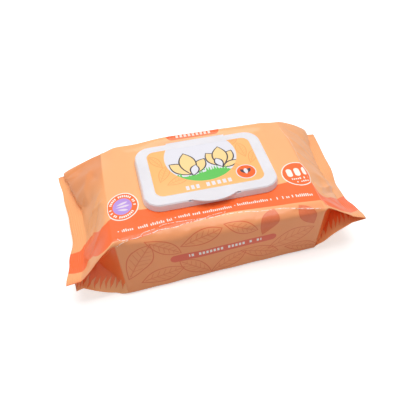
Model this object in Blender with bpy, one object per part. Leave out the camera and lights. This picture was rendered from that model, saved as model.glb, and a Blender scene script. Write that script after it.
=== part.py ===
"""Wet wipes pack: a gusseted flow-wrap film brick with a hinged rigid lid.

Metres, +Z up. The pack rests on its underside at Z = 0, with its length along X,
the tab of the lid towards -Y and the hinge of the lid towards +Y.
"""
from math import asin, cos, hypot, pi, radians, sin, sqrt

import bmesh
import bpy
from mathutils import Vector

MM = 0.001
CLEARANCE = 0.3 * MM                  # between two pieces that touch

# The film round the stack of wipes
BRICK_LENGTH = 159.0 * MM             # from vertical fold to vertical fold
BRICK_WIDTH = 114.0 * MM
BRICK_HEIGHT = 54.8 * MM
END_EDGE_RADIUS = 2.5 * MM            # top edges, at the two ends of the brick
FRONT_ROLL_REACH = 12.0 * MM          # the front top edge is rolled over at mid length
FRONT_ROLL_DROP = 9.0 * MM
BACK_ROLL = 4.5 * MM
BOTTOM_EDGE_RADIUS = 4.0 * MM
SIDE_BULGE = 1.4 * MM
SAG_LENGTH = 14.0 * MM                # over which a corner of the top sags towards its end
FRONT_TWIST = 6.0 * MM                # the front face leans back at one end, forward at the other
LID_SEAT_DEPTH = 0.8 * MM             # the rigid lid holds the film down flat
LID_SEAT_MARGIN = 3.0 * MM
LID_SEAT_BLEND = 7.0 * MM
BACK_SEAM_WIDTH = 16.0 * MM           # lengthwise seal, pressed flat into the underside
BACK_SEAM_GROOVE = 0.8 * MM
BACK_SEAM_DEPTH = 0.5 * MM

# The gusseted ends and their crimped seals
FLAP_REACH = 31.0 * MM                # from the vertical fold to the end seal, along X
FIN_WIDTH = 12.0 * MM
FIN_SPREAD = 121.0 * MM               # width of the flattened tube at the end seal
FIN_HEIGHT = 27.0 * MM                # of the end seals above the ground
FIN_THICKNESS = 1.2 * MM
LEAF_THICKNESS = 0.6 * MM             # the two leaves either side of a tucked-in gusset
LEAF_EDGE = 1.5 * MM
FIN_EDGE = 0.5 * MM                   # the cut edge closes over this length

# The lid, placed from the middle of the pack
LID_LENGTH = 108.0 * MM
LID_WIDTH = 71.4 * MM
LID_CORNER = 13.0 * MM
LID_CENTRE_X = 0.4 * MM
LID_CENTRE_Y = 6.0 * MM
RIM_HEIGHT = 5.3 * MM
RIM_WALL = 2.0 * MM
RIM_EDGE = 0.6 * MM
RIM_FLARE = 0.9 * MM                  # draft of the outer wall, wider at its foot
BASE_FLOOR = 1.0 * MM
WINDOW_LENGTH = 66.0 * MM
WINDOW_WIDTH = 30.0 * MM
WINDOW_CORNER = 12.0 * MM
LIP_WALL = 1.4 * MM
LIP_HEIGHT = 1.8 * MM                 # above the floor of the base
COVER_GAP = 0.35 * MM                 # between the cover and the rim round it
COVER_RISE = 0.5 * MM                 # of the cover above the rim
COVER_THICKNESS = 1.3 * MM
COVER_EDGE = 0.5 * MM
SKIRT_GAP = 1.0 * MM                  # sealing skirt, outside the lip of the window
SKIRT_WALL = 1.0 * MM
SKIRT_DEPTH = 2.6 * MM
TAB_REACH = 4.3 * MM                  # of the finger tab beyond the rim
TAB_CHORD = 33.5 * MM                 # width of the tab where it crosses the rim
TAB_ROOT = 2.0 * MM                   # of the tab and the hinge edge into the plate
HINGE_LENGTH = 51.0 * MM
HINGE_OFFSET = 0.6 * MM               # of the hinge axis behind the rim
HINGE_LAND_REACH = 1.5 * MM
HINGE_LAND_HEIGHT = 1.6 * MM
LABEL_LENGTH = 88.8 * MM
LABEL_WIDTH = 54.4 * MM
LABEL_CORNER = 7.0 * MM
LABEL_SHIFT_Y = 0.8 * MM              # of the printed label from the middle of the cover
LABEL_THICKNESS = 0.25 * MM
LABEL_RECESS = 0.6 * MM
LABEL_MARGIN = 0.3 * MM
SEAL_LENGTH = 56.0 * MM
SEAL_WIDTH = 22.0 * MM
SEAL_CORNER = 9.0 * MM
SEAL_THICKNESS = 0.3 * MM
SEAL_TAB_LENGTH = 9.0 * MM            # of the pull tab, lifted at its tip
SEAL_TAB_WIDTH = 10.0 * MM
SEAL_TAB_CORNER = 3.0 * MM
SEAL_TAB_LIFT = 1.5 * MM

# How finely the shapes are divided
BRICK_STEPS = 14
FIN_STEPS = 3
ARC_STEPS = 3
MIDDLE_STEPS = 4
LEAF_STEPS = 4
WALL_STEPS = 4
CORNER_STEPS = 8
TAB_STEPS = 16

# Heights that the lid shares with the film under it
SEAT_Z = BRICK_HEIGHT - LID_SEAT_DEPTH
BASE_Z = SEAT_Z + CLEARANCE
FLOOR_Z = BASE_Z + BASE_FLOOR
RIM_Z = BASE_Z + RIM_HEIGHT
COVER_TOP_Z = RIM_Z + COVER_RISE
COVER_UNDER_Z = COVER_TOP_Z - COVER_THICKNESS
HINGE_Y = LID_CENTRE_Y + LID_WIDTH / 2 + HINGE_OFFSET
HINGE_Z = COVER_TOP_Z - COVER_THICKNESS / 2

HALF_BRICK = BRICK_LENGTH / 2
HALF_HEIGHT = BRICK_HEIGHT / 2
FLAP_LENGTH = hypot(FLAP_REACH, HALF_HEIGHT)
FOLD_MEETS = HALF_HEIGHT / FLAP_LENGTH    # share of the flap where the gusset's folds meet

# How the ends were folded, across the width from front (-1) to back (+1).
# inset: of the seal towards the brick; tilt: of the seal, in degrees; raise: of the seal;
# part: half the opening between its two leaves; lead: how far the flap runs on level;
# over and rise: of the flap's last bend, outwards and upwards from the seal; sag: of its start;
# belly: how far the bottom film runs on level; slip: of the lower leaf's edge towards the brick;
# narrow: of the seal's half width; shut: share of the opening that closes by the seal's outer
# edge; lean: of the vertical fold, its foot towards the middle of the pack.
LEFT_END = {
    "inset": ((-1, 0.0), (-0.6, 3.0), (-0.25, 7.0), (0.1, 6.0), (0.6, 3.0), (1, 0.0)),
    "tilt": ((-1, -10), (-0.3, -15), (0.2, -12), (1, -22)),
    "raise": ((-1, -3.0), (-0.4, -1.5), (0.2, 0.0), (1, 1.0)),
    "part": ((-1, 2.6), (-0.5, 0.6), (0.5, 0.2), (1, 0.8)),
    "lead": ((-1, 9.0), (0, 8.0), (0.6, 5.0), (1, 3.0)),
    "over": ((-1, -9.0), (-0.3, -8.0), (0.1, -5.0), (0.4, 1.0), (1, 6.0)),
    "rise": ((-1, 9.0), (0.2, 8.0), (1, 9.0)),
    "sag": ((-1, 0.0), (0.4, 0.0), (1, 4.0)),
    "belly": ((-1, 1.0), (1, 1.0)),
    "slip": ((-1, 6.0), (0, 0.0), (1, 0.0)),
    "narrow": ((-1, 0.0), (1, 0.0)),
    "shut": 0.0,
    "lean": 4.0 * MM,
}
RIGHT_END = {
    "inset": ((-1, 3.0), (-0.5, 4.0), (-0.1, 3.5), (0.4, 3.0), (1, 0.0)),
    "tilt": ((-1, -8), (-0.7, -14), (-0.4, -50), (-0.1, -45), (0.25, -10), (1, -2)),
    "raise": ((-1, 5.0), (-0.5, 1.5), (0, 0.0), (1, -0.5)),
    "part": ((-1, 3.5), (-0.5, 0.4), (1, 1.2)),
    "lead": ((-1, 3.0), (0, 4.0), (1, 6.0)),
    "over": ((-1, -10.0), (-0.6, -5.0), (-0.3, 1.0), (0.1, -5.0), (1, -9.0)),
    "rise": ((-1, 8.0), (-0.3, 9.0), (1, 8.0)),
    "sag": ((-1, 0.5), (0.5, 0.0), (1, 1.0)),
    "belly": ((-1, -0.6), (-0.3, 0.6), (1, 1.0)),
    "slip": ((-1, 0.0), (1, 0.0)),
    "narrow": ((-1, 4.0), (0, 0.0), (1, 1.0)),
    "shut": 0.9,
    "lean": 0.0 * MM,
}
END_FORMS = {-1: LEFT_END, 1: RIGHT_END}

# Dents pressed into the film: middle, half sizes and depth, in the plane of the face
FRONT_DENTS = (
    ((-18.0 * MM, 47.0 * MM), (15.0 * MM, 9.0 * MM), 1.6 * MM),
    ((34.0 * MM, 44.0 * MM), (20.0 * MM, 8.0 * MM), 1.2 * MM),
    ((-62.0 * MM, 26.0 * MM), (14.0 * MM, 20.0 * MM), 1.3 * MM),
    ((12.0 * MM, 18.0 * MM), (30.0 * MM, 12.0 * MM), 0.8 * MM),
)
FLAP_DENTS = (
    ((93.0 * MM, -22.0 * MM), (9.0 * MM, 12.0 * MM), 2.6 * MM),
    ((98.0 * MM, 20.0 * MM), (10.0 * MM, 9.0 * MM), 1.2 * MM),
    ((-96.0 * MM, 36.0 * MM), (9.0 * MM, 16.0 * MM), -1.4 * MM),
    ((-96.0 * MM, 4.0 * MM), (8.0 * MM, 14.0 * MM), 1.6 * MM),
    ((-95.0 * MM, -34.0 * MM), (8.0 * MM, 10.0 * MM), -1.2 * MM),
)


def smooth(value):
    """0 to 1 with a soft start and end."""
    value = min(max(value, 0.0), 1.0)
    return value * value * (3 - 2 * value)


def mix(start, end, share):
    return start + (end - start) * share


def across(knots, eta):
    """The value at eta of a smooth curve through (eta, value) knots."""
    if eta <= knots[0][0]:
        return knots[0][1]
    for (low, first), (high, last) in zip(knots, knots[1:]):
        if eta <= high:
            return mix(first, last, smooth((eta - low) / (high - low)))
    return knots[-1][1]


def dent(dents, a, b):
    """Depth at (a, b) of a set of soft elliptical dents."""
    depth = 0.0
    for (mid_a, mid_b), (half_a, half_b), deepest in dents:
        away = hypot((a - mid_a) / half_a, (b - mid_b) / half_b)
        depth += deepest * (1 - smooth(away))
    return depth


def bezier(points, share):
    """Point of a cubic curve in the XZ plane."""
    back = 1 - share
    weights = (back ** 3, 3 * back * back * share, 3 * back * share * share, share ** 3)
    return tuple(sum(w * p[i] for w, p in zip(weights, points)) for i in (0, 1))


def valley_eta():
    """Where the fold of a gusset meets the end seal, across the width."""
    return 1 - HALF_HEIGHT / (FIN_SPREAD / 2)


def split(eta):
    """0 over the middle of a seal, rising to 1 at the outer edge of its leaves."""
    return smooth((abs(eta) - valley_eta()) / (1 - valley_eta()))


def lid_seat(x, y):
    """0 away from the lid, 1 where the film lies flat under it."""
    over_x = abs(x - LID_CENTRE_X) - LID_LENGTH / 2 - LID_SEAT_MARGIN
    over_y = abs(y - LID_CENTRE_Y) - LID_WIDTH / 2 - LID_SEAT_MARGIN
    return 1 - smooth(max(over_x, over_y) / LID_SEAT_BLEND)


def seal_point(end, eta, along, layer, thick):
    """X and Z of an end seal: layer is 1 on its top, 0 at its middle, -1 on its underside."""
    form = END_FORMS[end]
    tilt = radians(across(form["tilt"], eta))
    parting = across(form["part"], eta) * MM * split(eta) * (1 - form["shut"] * along / FIN_WIDTH)
    slip = across(form["slip"], eta) * MM * split(eta) * along / FIN_WIDTH if layer < 0 else 0
    x = HALF_BRICK + FLAP_REACH - across(form["inset"], eta) * MM - slip + along * cos(tilt)
    z = FIN_HEIGHT + across(form["raise"], eta) * MM + along * sin(tilt)
    return x, z + layer * (parting + thick * FIN_THICKNESS / 2)


def top_point(end, eta, y, reach, thick):
    """X and Z of the top film at a distance past the vertical fold, negative on the brick."""
    form = END_FORMS[end]
    sag = across(form["sag"], eta) * MM
    if reach <= 0:
        x = HALF_BRICK + reach
        z = BRICK_HEIGHT - LID_SEAT_DEPTH * lid_seat(end * x, y)
        return x, z - sag * smooth(1 + reach / SAG_LENGTH)
    if reach >= FLAP_LENGTH:
        return seal_point(end, eta, reach - FLAP_LENGTH, 1, thick)
    seal = seal_point(end, eta, 0, 1, thick)
    start = (HALF_BRICK, BRICK_HEIGHT - sag)
    level = (HALF_BRICK + across(form["lead"], eta) * MM, BRICK_HEIGHT - sag * 2)
    bend = (seal[0] + across(form["over"], eta) * MM, seal[1] + across(form["rise"], eta) * MM)
    x, z = bezier((start, level, bend, seal), reach / FLAP_LENGTH)
    return x, z - dent(FLAP_DENTS, end * x, y)


def bottom_point(end, eta, y, reach, thick):
    """X and Z of the bottom film, which rises past the fold to meet the top film."""
    if reach <= 0:
        off_groove = abs(abs(y) - BACK_SEAM_WIDTH / 2) / BACK_SEAM_GROOVE
        return HALF_BRICK + reach, BACK_SEAM_DEPTH * max(1 - off_groove, 0)
    if reach >= FLAP_LENGTH:
        return seal_point(end, eta, reach - FLAP_LENGTH, -1, thick)
    seal = seal_point(end, eta, 0, -1, thick)
    belly = across(END_FORMS[end]["belly"], eta) / 3
    points = [(mix(HALF_BRICK, seal[0], share), seal[1] * (share - sink * belly))
              for share, sink in ((0, 0), (1 / 3, 1), (2 / 3, 0.2), (1, 0))]
    return bezier(points, reach / FLAP_LENGTH)


def gusset_fold(end, side, reach, upper):
    """X, depth inwards and Z of the tucked-in side: two folds that meet where it is half tucked."""
    seal = seal_point(end, side * valley_eta(), max(reach - FLAP_LENGTH, 0), 0, 0)
    share = reach / FLAP_LENGTH
    if share >= 1:
        return seal[0], HALF_HEIGHT, seal[1]
    sag = across(END_FORMS[end]["sag"], side) * MM
    corner_z = BRICK_HEIGHT - sag - END_EDGE_RADIUS if upper else BOTTOM_EDGE_RADIUS
    z = mix(corner_z, seal[1], min(share / FOLD_MEETS, 1))
    return mix(HALF_BRICK, seal[0], share), HALF_HEIGHT * share, z


def top_round(side, reach, thick):
    """Reach and drop of a top edge: rolled on the brick, the blunt edge of a leaf on the flap."""
    fade = smooth(reach / (FLAP_LENGTH / 4))
    roll = cos(pi / 2 * min(1 + reach / HALF_BRICK, 1)) ** 0.8 if reach < 0 else 0
    wide, drop = (FRONT_ROLL_REACH, FRONT_ROLL_DROP) if side < 0 else (BACK_ROLL, BACK_ROLL)
    wide, drop = mix(END_EDGE_RADIUS, wide, roll), mix(END_EDGE_RADIUS, drop, roll)
    return mix(wide, LEAF_EDGE * thick, fade), mix(drop, LEAF_THICKNESS * thick, fade)


def bottom_round(reach, thick):
    """Reach and rise of a bottom edge."""
    fade = smooth(reach / (FLAP_LENGTH / 4))
    return (mix(BOTTOM_EDGE_RADIUS, LEAF_EDGE * thick, fade),
            mix(BOTTOM_EDGE_RADIUS, LEAF_THICKNESS * thick, fade))


def wall_shift(end, side, reach, z):
    """How far the side wall stands outwards at height z: bulge, twist and dents."""
    level = z / BRICK_HEIGHT
    fade = 1 - smooth(reach / (FLAP_LENGTH / 3))
    middle = cos(pi / 2 * min(1 + reach / HALF_BRICK, 1))
    shift = SIDE_BULGE * sin(pi * level) * middle
    if side < 0:
        shift += end * FRONT_TWIST * (level - 0.5) * (1 - middle) * fade
        shift -= dent(FRONT_DENTS, end * (HALF_BRICK + reach), z) * fade
    return shift


def half_width_at(end, side, reach):
    """From the middle to one side: the brick's half, spreading to the half of the flat seal."""
    spread = FIN_SPREAD / 2 - across(END_FORMS[end]["narrow"], side) * MM
    return mix(BRICK_WIDTH / 2, spread, smooth(reach / FLAP_LENGTH))


def all_etas():
    """Positions across the width: over the back seam, over the middle and over the leaves."""
    seam = BACK_SEAM_WIDTH / FIN_SPREAD
    groove = 2 * BACK_SEAM_GROOVE / FIN_SPREAD
    half = [seam - groove, seam, seam + groove]
    half += [mix(seam + groove, valley_eta(), step / MIDDLE_STEPS) for step in range(1, MIDDLE_STEPS + 1)]
    half += [mix(valley_eta(), 1, step / LEAF_STEPS) for step in range(1, LEAF_STEPS + 1)]
    return [-eta for eta in reversed(half)] + [0.0] + half


def leaf_line(half_width, wide, drop, fold, surface, layer):
    """Inner skin of a leaf, from its outer edge to the fold, at a changing depth below its skin."""
    line = []
    fold_y = half_width - fold[1]
    fold_x, fold_z = surface(fold_y)
    for step in range(1, LEAF_STEPS + 1):
        share = step / LEAF_STEPS
        y = mix(half_width - wide, fold_y, share)
        x, z = surface(y)
        under = mix(drop, layer * (fold_z - fold[2]), share)
        line.append((x + share * (fold[0] - fold_x), y, z - layer * under))
    return line


def side_line(end, side, reach, thick):
    """Points down one side: top edge, upper leaf, tucked wall, lower leaf and bottom edge."""
    half_width = half_width_at(end, side, reach)
    wide, drop = top_round(side, reach, thick)
    low_wide, rise = bottom_round(reach, thick)
    inner = smooth(reach / (FLAP_LENGTH / 2))

    def top_at(y):
        eta = min(y / (half_width - wide), 1)
        return top_point(end, side * eta, side * y, reach, thick)

    def bottom_at(y):
        eta = min(y / (half_width - low_wide), 1)
        return bottom_point(end, side * eta, side * y, reach, thick)

    x, z = top_at(half_width)
    low_x, low_z = bottom_at(half_width)
    upper = gusset_fold(end, side, reach, True) if reach > 0 else (x, 0, z - drop)
    lower = gusset_fold(end, side, reach, False) if reach > 0 else (low_x, 0, low_z + rise)
    if reach >= FLAP_LENGTH:
        depth = half_width - valley_eta() * (half_width - wide)
        upper = lower = (upper[0], depth, upper[2])
    line = []
    for step in range(1, ARC_STEPS + 1):
        turn = pi / 2 * step / ARC_STEPS
        line.append((x, half_width - wide * (1 - sin(turn)), z - drop * (1 - cos(turn))))
    line += leaf_line(half_width, wide * inner, drop, upper, top_at, 1)
    for step in range(1, WALL_STEPS):
        share = step / WALL_STEPS
        line.append((mix(upper[0], lower[0], share), half_width - mix(upper[1], lower[1], share),
                     mix(upper[2], lower[2], share)))
    line += reversed(leaf_line(half_width, low_wide * inner, rise, lower, bottom_at, -1))
    for step in range(ARC_STEPS):
        turn = pi / 2 * step / ARC_STEPS
        line.append((low_x, half_width - low_wide * (1 - cos(turn)), low_z + rise * (1 - sin(turn))))
    return [(px, side * (py + wall_shift(end, side, reach, pz)), pz) for px, py, pz in line]


def film_ring(end, reach, thick):
    """One closed line of points round the film, at a distance past the vertical fold."""
    top, bottom = [], []
    for eta in all_etas():
        side = -1 if eta < 0 else 1
        room = half_width_at(end, side, reach) - top_round(side, reach, thick)[0]
        y = eta * (room + wall_shift(end, side, reach, BRICK_HEIGHT))
        x, z = top_point(end, eta, y, reach, thick)
        top.append((x, y, z))
        room = half_width_at(end, side, reach) - bottom_round(reach, thick)[0]
        y = eta * (room + wall_shift(end, side, reach, 0))
        x, z = bottom_point(end, eta, y, reach, thick)
        bottom.append((x, y, z))
    back, front = (side_line(end, side, reach, thick) for side in (1, -1))
    ring = top + back + bottom[::-1] + front[::-1]
    near = smooth(1 + reach / HALF_BRICK) * (1 - smooth(reach / FLAP_LENGTH))
    lean = END_FORMS[end]["lean"] * near
    return [(end * (x - lean * (0.5 - z / BRICK_HEIGHT)), y, z) for x, y, z in ring]


def film_reaches():
    """Distances past the vertical fold, with the share of the thickness left at each."""
    flap = [share * FOLD_MEETS for share in (0.08, 0.25, 0.5, 0.75, 1.0)]
    flap += [mix(FOLD_MEETS, 1, share) for share in (0.5, 1.0)]
    reaches = [(FLAP_LENGTH * share, 1.0) for share in flap]
    for step in range(1, FIN_STEPS + 1):
        reaches.append((FLAP_LENGTH + (FIN_WIDTH - FIN_EDGE) * step / FIN_STEPS, 1.0))
    return reaches + [(FLAP_LENGTH + FIN_WIDTH, 0.0)]


def film_rings():
    """All rings of the film, from the edge of the left seal to the edge of the right one."""
    rings = [film_ring(-1, reach, thick) for reach, thick in reversed(film_reaches())]
    for step in range(BRICK_STEPS + 1):
        x = mix(-HALF_BRICK, HALF_BRICK, step / BRICK_STEPS)
        rings.append(film_ring(-1 if x < 0 else 1, abs(x) - HALF_BRICK, 1.0))
    return rings + [film_ring(1, reach, thick) for reach, thick in film_reaches()]


def loft(rings, around=False):
    """A mesh through closed rings of equal count; around joins the last ring to the first."""
    bm = bmesh.new()
    rows = [[bm.verts.new(point) for point in ring] for ring in rings]
    pairs = list(zip(rows, rows[1:]))
    if around:
        pairs.append((rows[-1], rows[0]))
    for first, second in pairs:
        for i in range(len(first)):
            j = (i + 1) % len(first)
            bm.faces.new((first[i], first[j], second[j], second[i]))
    return bm, rows


def close_ends(bm, rows):
    for row in (rows[0], rows[-1]):
        bm.faces.new(row)


def finish(bm, name, finish_material, weld=0.0000005):
    """Welds the mesh, turns its faces outwards and makes its object."""
    bmesh.ops.remove_doubles(bm, verts=bm.verts, dist=weld)
    bmesh.ops.dissolve_degenerate(bm, edges=bm.edges, dist=weld)
    bmesh.ops.recalc_face_normals(bm, faces=bm.faces)
    mesh = bpy.data.meshes.new(name)
    bm.to_mesh(mesh)
    bm.free()
    mesh.materials.append(finish_material)
    mesh.shade_smooth()
    mesh.set_sharp_from_angle(angle=radians(35))
    part = bpy.data.objects.new(name, mesh)
    bpy.context.scene.collection.objects.link(part)
    return part


def material(name, color, roughness):
    made = bpy.data.materials.new(name)
    made.use_nodes = True
    shader = made.node_tree.nodes["Principled BSDF"]
    shader.inputs["Base Color"].default_value = (*color, 1.0)
    shader.inputs["Roughness"].default_value = roughness
    shader.inputs["Metallic"].default_value = 0.0
    return made


def rounded_ring(length, width, corner, z, shift_y=0.0, steps=CORNER_STEPS):
    """Rounded rectangle about the middle of the lid, anticlockwise from above."""
    points = []
    for quarter, (side_x, side_y) in enumerate(((1, 1), (-1, 1), (-1, -1), (1, -1))):
        mid_x = LID_CENTRE_X + side_x * (length / 2 - corner)
        mid_y = LID_CENTRE_Y + shift_y + side_y * (width / 2 - corner)
        for step in range(steps + 1):
            turn = pi / 2 * (quarter + step / steps)
            points.append((mid_x + corner * cos(turn), mid_y + corner * sin(turn), z))
    return points


def inset_ring(inset, z, length=LID_LENGTH, width=LID_WIDTH, corner=LID_CORNER, shift_y=0.0):
    """Ring set in from a rounded rectangle by an even distance."""
    return rounded_ring(length - 2 * inset, width - 2 * inset, corner - inset, z, shift_y)


def box(name, low, high):
    """A plain block between two corners, for a cut or a land."""
    bm = bmesh.new()
    bmesh.ops.create_cube(bm, size=1.0)
    size = Vector(high) - Vector(low)
    bmesh.ops.scale(bm, vec=size, verts=bm.verts)
    bmesh.ops.translate(bm, vec=(Vector(high) + Vector(low)) / 2, verts=bm.verts)
    mesh = bpy.data.meshes.new(name)
    bm.to_mesh(mesh)
    bm.free()
    block = bpy.data.objects.new(name, mesh)
    bpy.context.scene.collection.objects.link(block)
    return block


def boolean(part, tool, operation):
    """Adds or cuts with a hidden tool object."""
    modifier = part.modifiers.new(tool.name, "BOOLEAN")
    modifier.operation = operation
    modifier.object = tool
    tool.hide_render = True
    tool.display_type = "WIRE"


def film_pack():
    """The sealed film with its wipes: brick, tucked-in gussets and crimped end seals."""
    bm, rows = loft(film_rings())
    return finish(bm, "film_pack", material("printed_film", (0.98, 0.52, 0.27), 0.32))


def lid_base(plastic):
    """Frame glued to the film: floor, window with its lip, rim, tab notch and hinge land."""
    lip = (WINDOW_LENGTH, WINDOW_WIDTH, WINDOW_CORNER)
    lip_z = FLOOR_Z + LIP_HEIGHT
    half_lip = LIP_WALL / 2
    rings = [
        inset_ring(0, BASE_Z, *lip),
        inset_ring(0, lip_z - half_lip, *lip),
        inset_ring(-half_lip, lip_z, *lip),
        inset_ring(-LIP_WALL, lip_z - half_lip, *lip),
        inset_ring(-LIP_WALL, FLOOR_Z, *lip),
        inset_ring(RIM_WALL, FLOOR_Z),
        inset_ring(RIM_WALL, RIM_Z),
        inset_ring(RIM_EDGE, RIM_Z),
        inset_ring(RIM_EDGE * 0.3, RIM_Z - RIM_EDGE * 0.3),
        inset_ring(0, RIM_Z - RIM_EDGE),
        inset_ring(-RIM_FLARE, BASE_Z),
    ]
    bm, _ = loft(rings, around=True)
    part = finish(bm, "lid_base", plastic)

    notch_z = COVER_UNDER_Z - CLEARANCE
    front_y = LID_CENTRE_Y - LID_WIDTH / 2
    rear_y = LID_CENTRE_Y + LID_WIDTH / 2
    notch_x = tab_circle()[2] + COVER_GAP
    boolean(part, box("tab_notch", (LID_CENTRE_X - notch_x, front_y - MM, notch_z),
                      (LID_CENTRE_X + notch_x, front_y + RIM_WALL + MM, RIM_Z + MM)), "DIFFERENCE")
    hinge_x = HINGE_LENGTH / 2
    cut_x = hinge_x + CLEARANCE
    boolean(part, box("hinge_notch", (LID_CENTRE_X - cut_x, rear_y - RIM_WALL - MM, notch_z),
                      (LID_CENTRE_X + cut_x, rear_y + MM, RIM_Z + MM)), "DIFFERENCE")
    boolean(part, box("hinge_land", (LID_CENTRE_X - hinge_x, rear_y - RIM_WALL / 2,
                                     notch_z - HINGE_LAND_HEIGHT),
                      (LID_CENTRE_X + hinge_x, rear_y + HINGE_LAND_REACH, notch_z)), "UNION")
    return part


def seal_half_width(x):
    """Half the width of the seal at a distance from its plain end: round corners, then the pull tab."""
    corner = SEAL_CORNER
    body_end = SEAL_LENGTH - SEAL_TAB_LENGTH
    near = max(min(x, body_end - x, corner), 0)
    body = SEAL_WIDTH / 2 - corner + sqrt(corner ** 2 - (corner - near) ** 2)
    tip = min(SEAL_LENGTH - x, SEAL_TAB_CORNER)
    tab = SEAL_TAB_WIDTH / 2 - SEAL_TAB_CORNER
    tab += sqrt(SEAL_TAB_CORNER ** 2 - (SEAL_TAB_CORNER - tip) ** 2)
    return max(body, tab) if x < body_end else tab


def seal_label(film_finish):
    """Peel-off seal lying on the film inside the window, with a lifted pull tab."""
    turns = [pi / 2 * step / CORNER_STEPS for step in range(CORNER_STEPS + 1)]
    body_end = SEAL_LENGTH - SEAL_TAB_LENGTH
    stations = [SEAL_CORNER * (1 - cos(turn)) for turn in turns]
    stations += [body_end - SEAL_CORNER * cos(turn) for turn in turns]
    stations += [SEAL_LENGTH - SEAL_TAB_CORNER * cos(turn) for turn in turns]
    rings = []
    for x in stations:
        half = max(seal_half_width(x), SEAL_THICKNESS)
        lift = SEAL_TAB_LIFT * smooth((x - body_end) / SEAL_TAB_LENGTH)
        low = SEAT_Z + CLEARANCE + lift
        ring = [(-half, low), (half, low), (half, low + SEAL_THICKNESS), (-half, low + SEAL_THICKNESS)]
        rings.append([(LID_CENTRE_X - SEAL_LENGTH / 2 + x, LID_CENTRE_Y + y, z) for y, z in ring])
    bm, rows = loft(rings)
    close_ends(bm, rows)
    return finish(bm, "seal_label", film_finish)


def lid_cover(plastic):
    """Hinged cover: plate with a label recess, sealing skirt, finger tab and hinge edge."""
    inset = RIM_WALL + COVER_GAP
    lip_out = LIP_WALL + SKIRT_GAP
    lip = (WINDOW_LENGTH, WINDOW_WIDTH, WINDOW_CORNER)
    label = (LABEL_LENGTH, LABEL_WIDTH, LABEL_CORNER, LABEL_SHIFT_Y)
    skirt_z = COVER_UNDER_Z - SKIRT_DEPTH
    rings = [
        inset_ring(-lip_out, COVER_UNDER_Z, *lip),
        inset_ring(-lip_out, skirt_z, *lip),
        inset_ring(-lip_out - SKIRT_WALL, skirt_z, *lip),
        inset_ring(-lip_out - SKIRT_WALL, COVER_UNDER_Z, *lip),
        inset_ring(inset, COVER_UNDER_Z),
        inset_ring(inset, COVER_TOP_Z - COVER_EDGE),
        inset_ring(inset + COVER_EDGE * 0.3, COVER_TOP_Z - COVER_EDGE * 0.3),
        inset_ring(inset + COVER_EDGE, COVER_TOP_Z),
        inset_ring(-LABEL_MARGIN, COVER_TOP_Z, *label),
        inset_ring(-LABEL_MARGIN, COVER_TOP_Z - LABEL_RECESS, *label),
    ]
    bm, rows = loft(rings)
    close_ends(bm, rows)
    part = finish(bm, "lid_cover", plastic)
    boolean(part, finger_tab(), "UNION")
    boolean(part, hinge_edge(), "UNION")
    return part


def tab_circle():
    """Radius and middle of the tab's arc, and its half width where it leaves the plate."""
    radius = ((TAB_CHORD / 2) ** 2 + TAB_REACH ** 2) / (2 * TAB_REACH)
    mid_y = LID_CENTRE_Y - LID_WIDTH / 2 - TAB_REACH + radius
    rise = radius - TAB_REACH - RIM_WALL - COVER_GAP
    return radius, mid_y, sqrt(radius ** 2 - rise ** 2)


def finger_tab():
    """Crescent that reaches over the rim at the front of the cover."""
    radius, mid_y, half_root = tab_circle()
    spread = asin(half_root / radius)
    root_y = mid_y - radius * cos(spread) + TAB_ROOT
    rings = []
    for z, inset in ((COVER_UNDER_Z, 0.0), (COVER_TOP_Z - COVER_EDGE, 0.0),
                     (COVER_TOP_Z, COVER_EDGE)):
        ring = [(LID_CENTRE_X - half_root + COVER_EDGE, root_y, z)]
        for step in range(TAB_STEPS + 1):
            turn = mix(-spread, spread, step / TAB_STEPS)
            ring.append((LID_CENTRE_X + (radius - inset) * sin(turn),
                         mid_y - (radius - inset) * cos(turn), z))
        ring.append((LID_CENTRE_X + half_root - COVER_EDGE, root_y, z))
        rings.append(ring)
    bm, rows = loft(rings)
    close_ends(bm, rows)
    return tool_from(bm, "finger_tab")


def hinge_edge():
    """Rear edge of the cover, rounded about the hinge axis and carried over the rim."""
    radius = COVER_THICKNESS / 2
    root_y = LID_CENTRE_Y + LID_WIDTH / 2 - RIM_WALL - COVER_GAP - TAB_ROOT
    profile = [(root_y, COVER_UNDER_Z)]
    for step in range(7):
        turn = mix(-pi / 2, pi / 2, step / 6)
        profile.append((HINGE_Y + radius * cos(turn), HINGE_Z + radius * sin(turn)))
    profile.append((root_y, COVER_TOP_Z))
    rings = [[(LID_CENTRE_X + side * HINGE_LENGTH / 2, y, z) for y, z in profile] for side in (-1, 1)]
    bm, rows = loft(rings)
    close_ends(bm, rows)
    return tool_from(bm, "hinge_edge")


def tool_from(bm, name):
    """A hidden object that another piece is joined with."""
    bmesh.ops.recalc_face_normals(bm, faces=bm.faces)
    mesh = bpy.data.meshes.new(name)
    bm.to_mesh(mesh)
    bm.free()
    tool = bpy.data.objects.new(name, mesh)
    bpy.context.scene.collection.objects.link(tool)
    return tool


def lid_label(print_finish):
    """Printed label in the recess of the cover."""
    low = COVER_TOP_Z - LABEL_RECESS + CLEARANCE
    rings = [rounded_ring(LABEL_LENGTH, LABEL_WIDTH, LABEL_CORNER, z, LABEL_SHIFT_Y)
             for z in (low, low + LABEL_THICKNESS)]
    bm, rows = loft(rings)
    close_ends(bm, rows)
    return finish(bm, "lid_label", print_finish)


def hang_on_hinge(*parts):
    """Parents the moving pieces to an empty on the hinge axis."""
    axis = bpy.data.objects.new("cover_hinge", None)
    axis.location = (LID_CENTRE_X, HINGE_Y, HINGE_Z)
    bpy.context.scene.collection.objects.link(axis)
    for part in parts:
        part.parent = axis
        part.matrix_parent_inverse = axis.matrix_basis.inverted()


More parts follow.
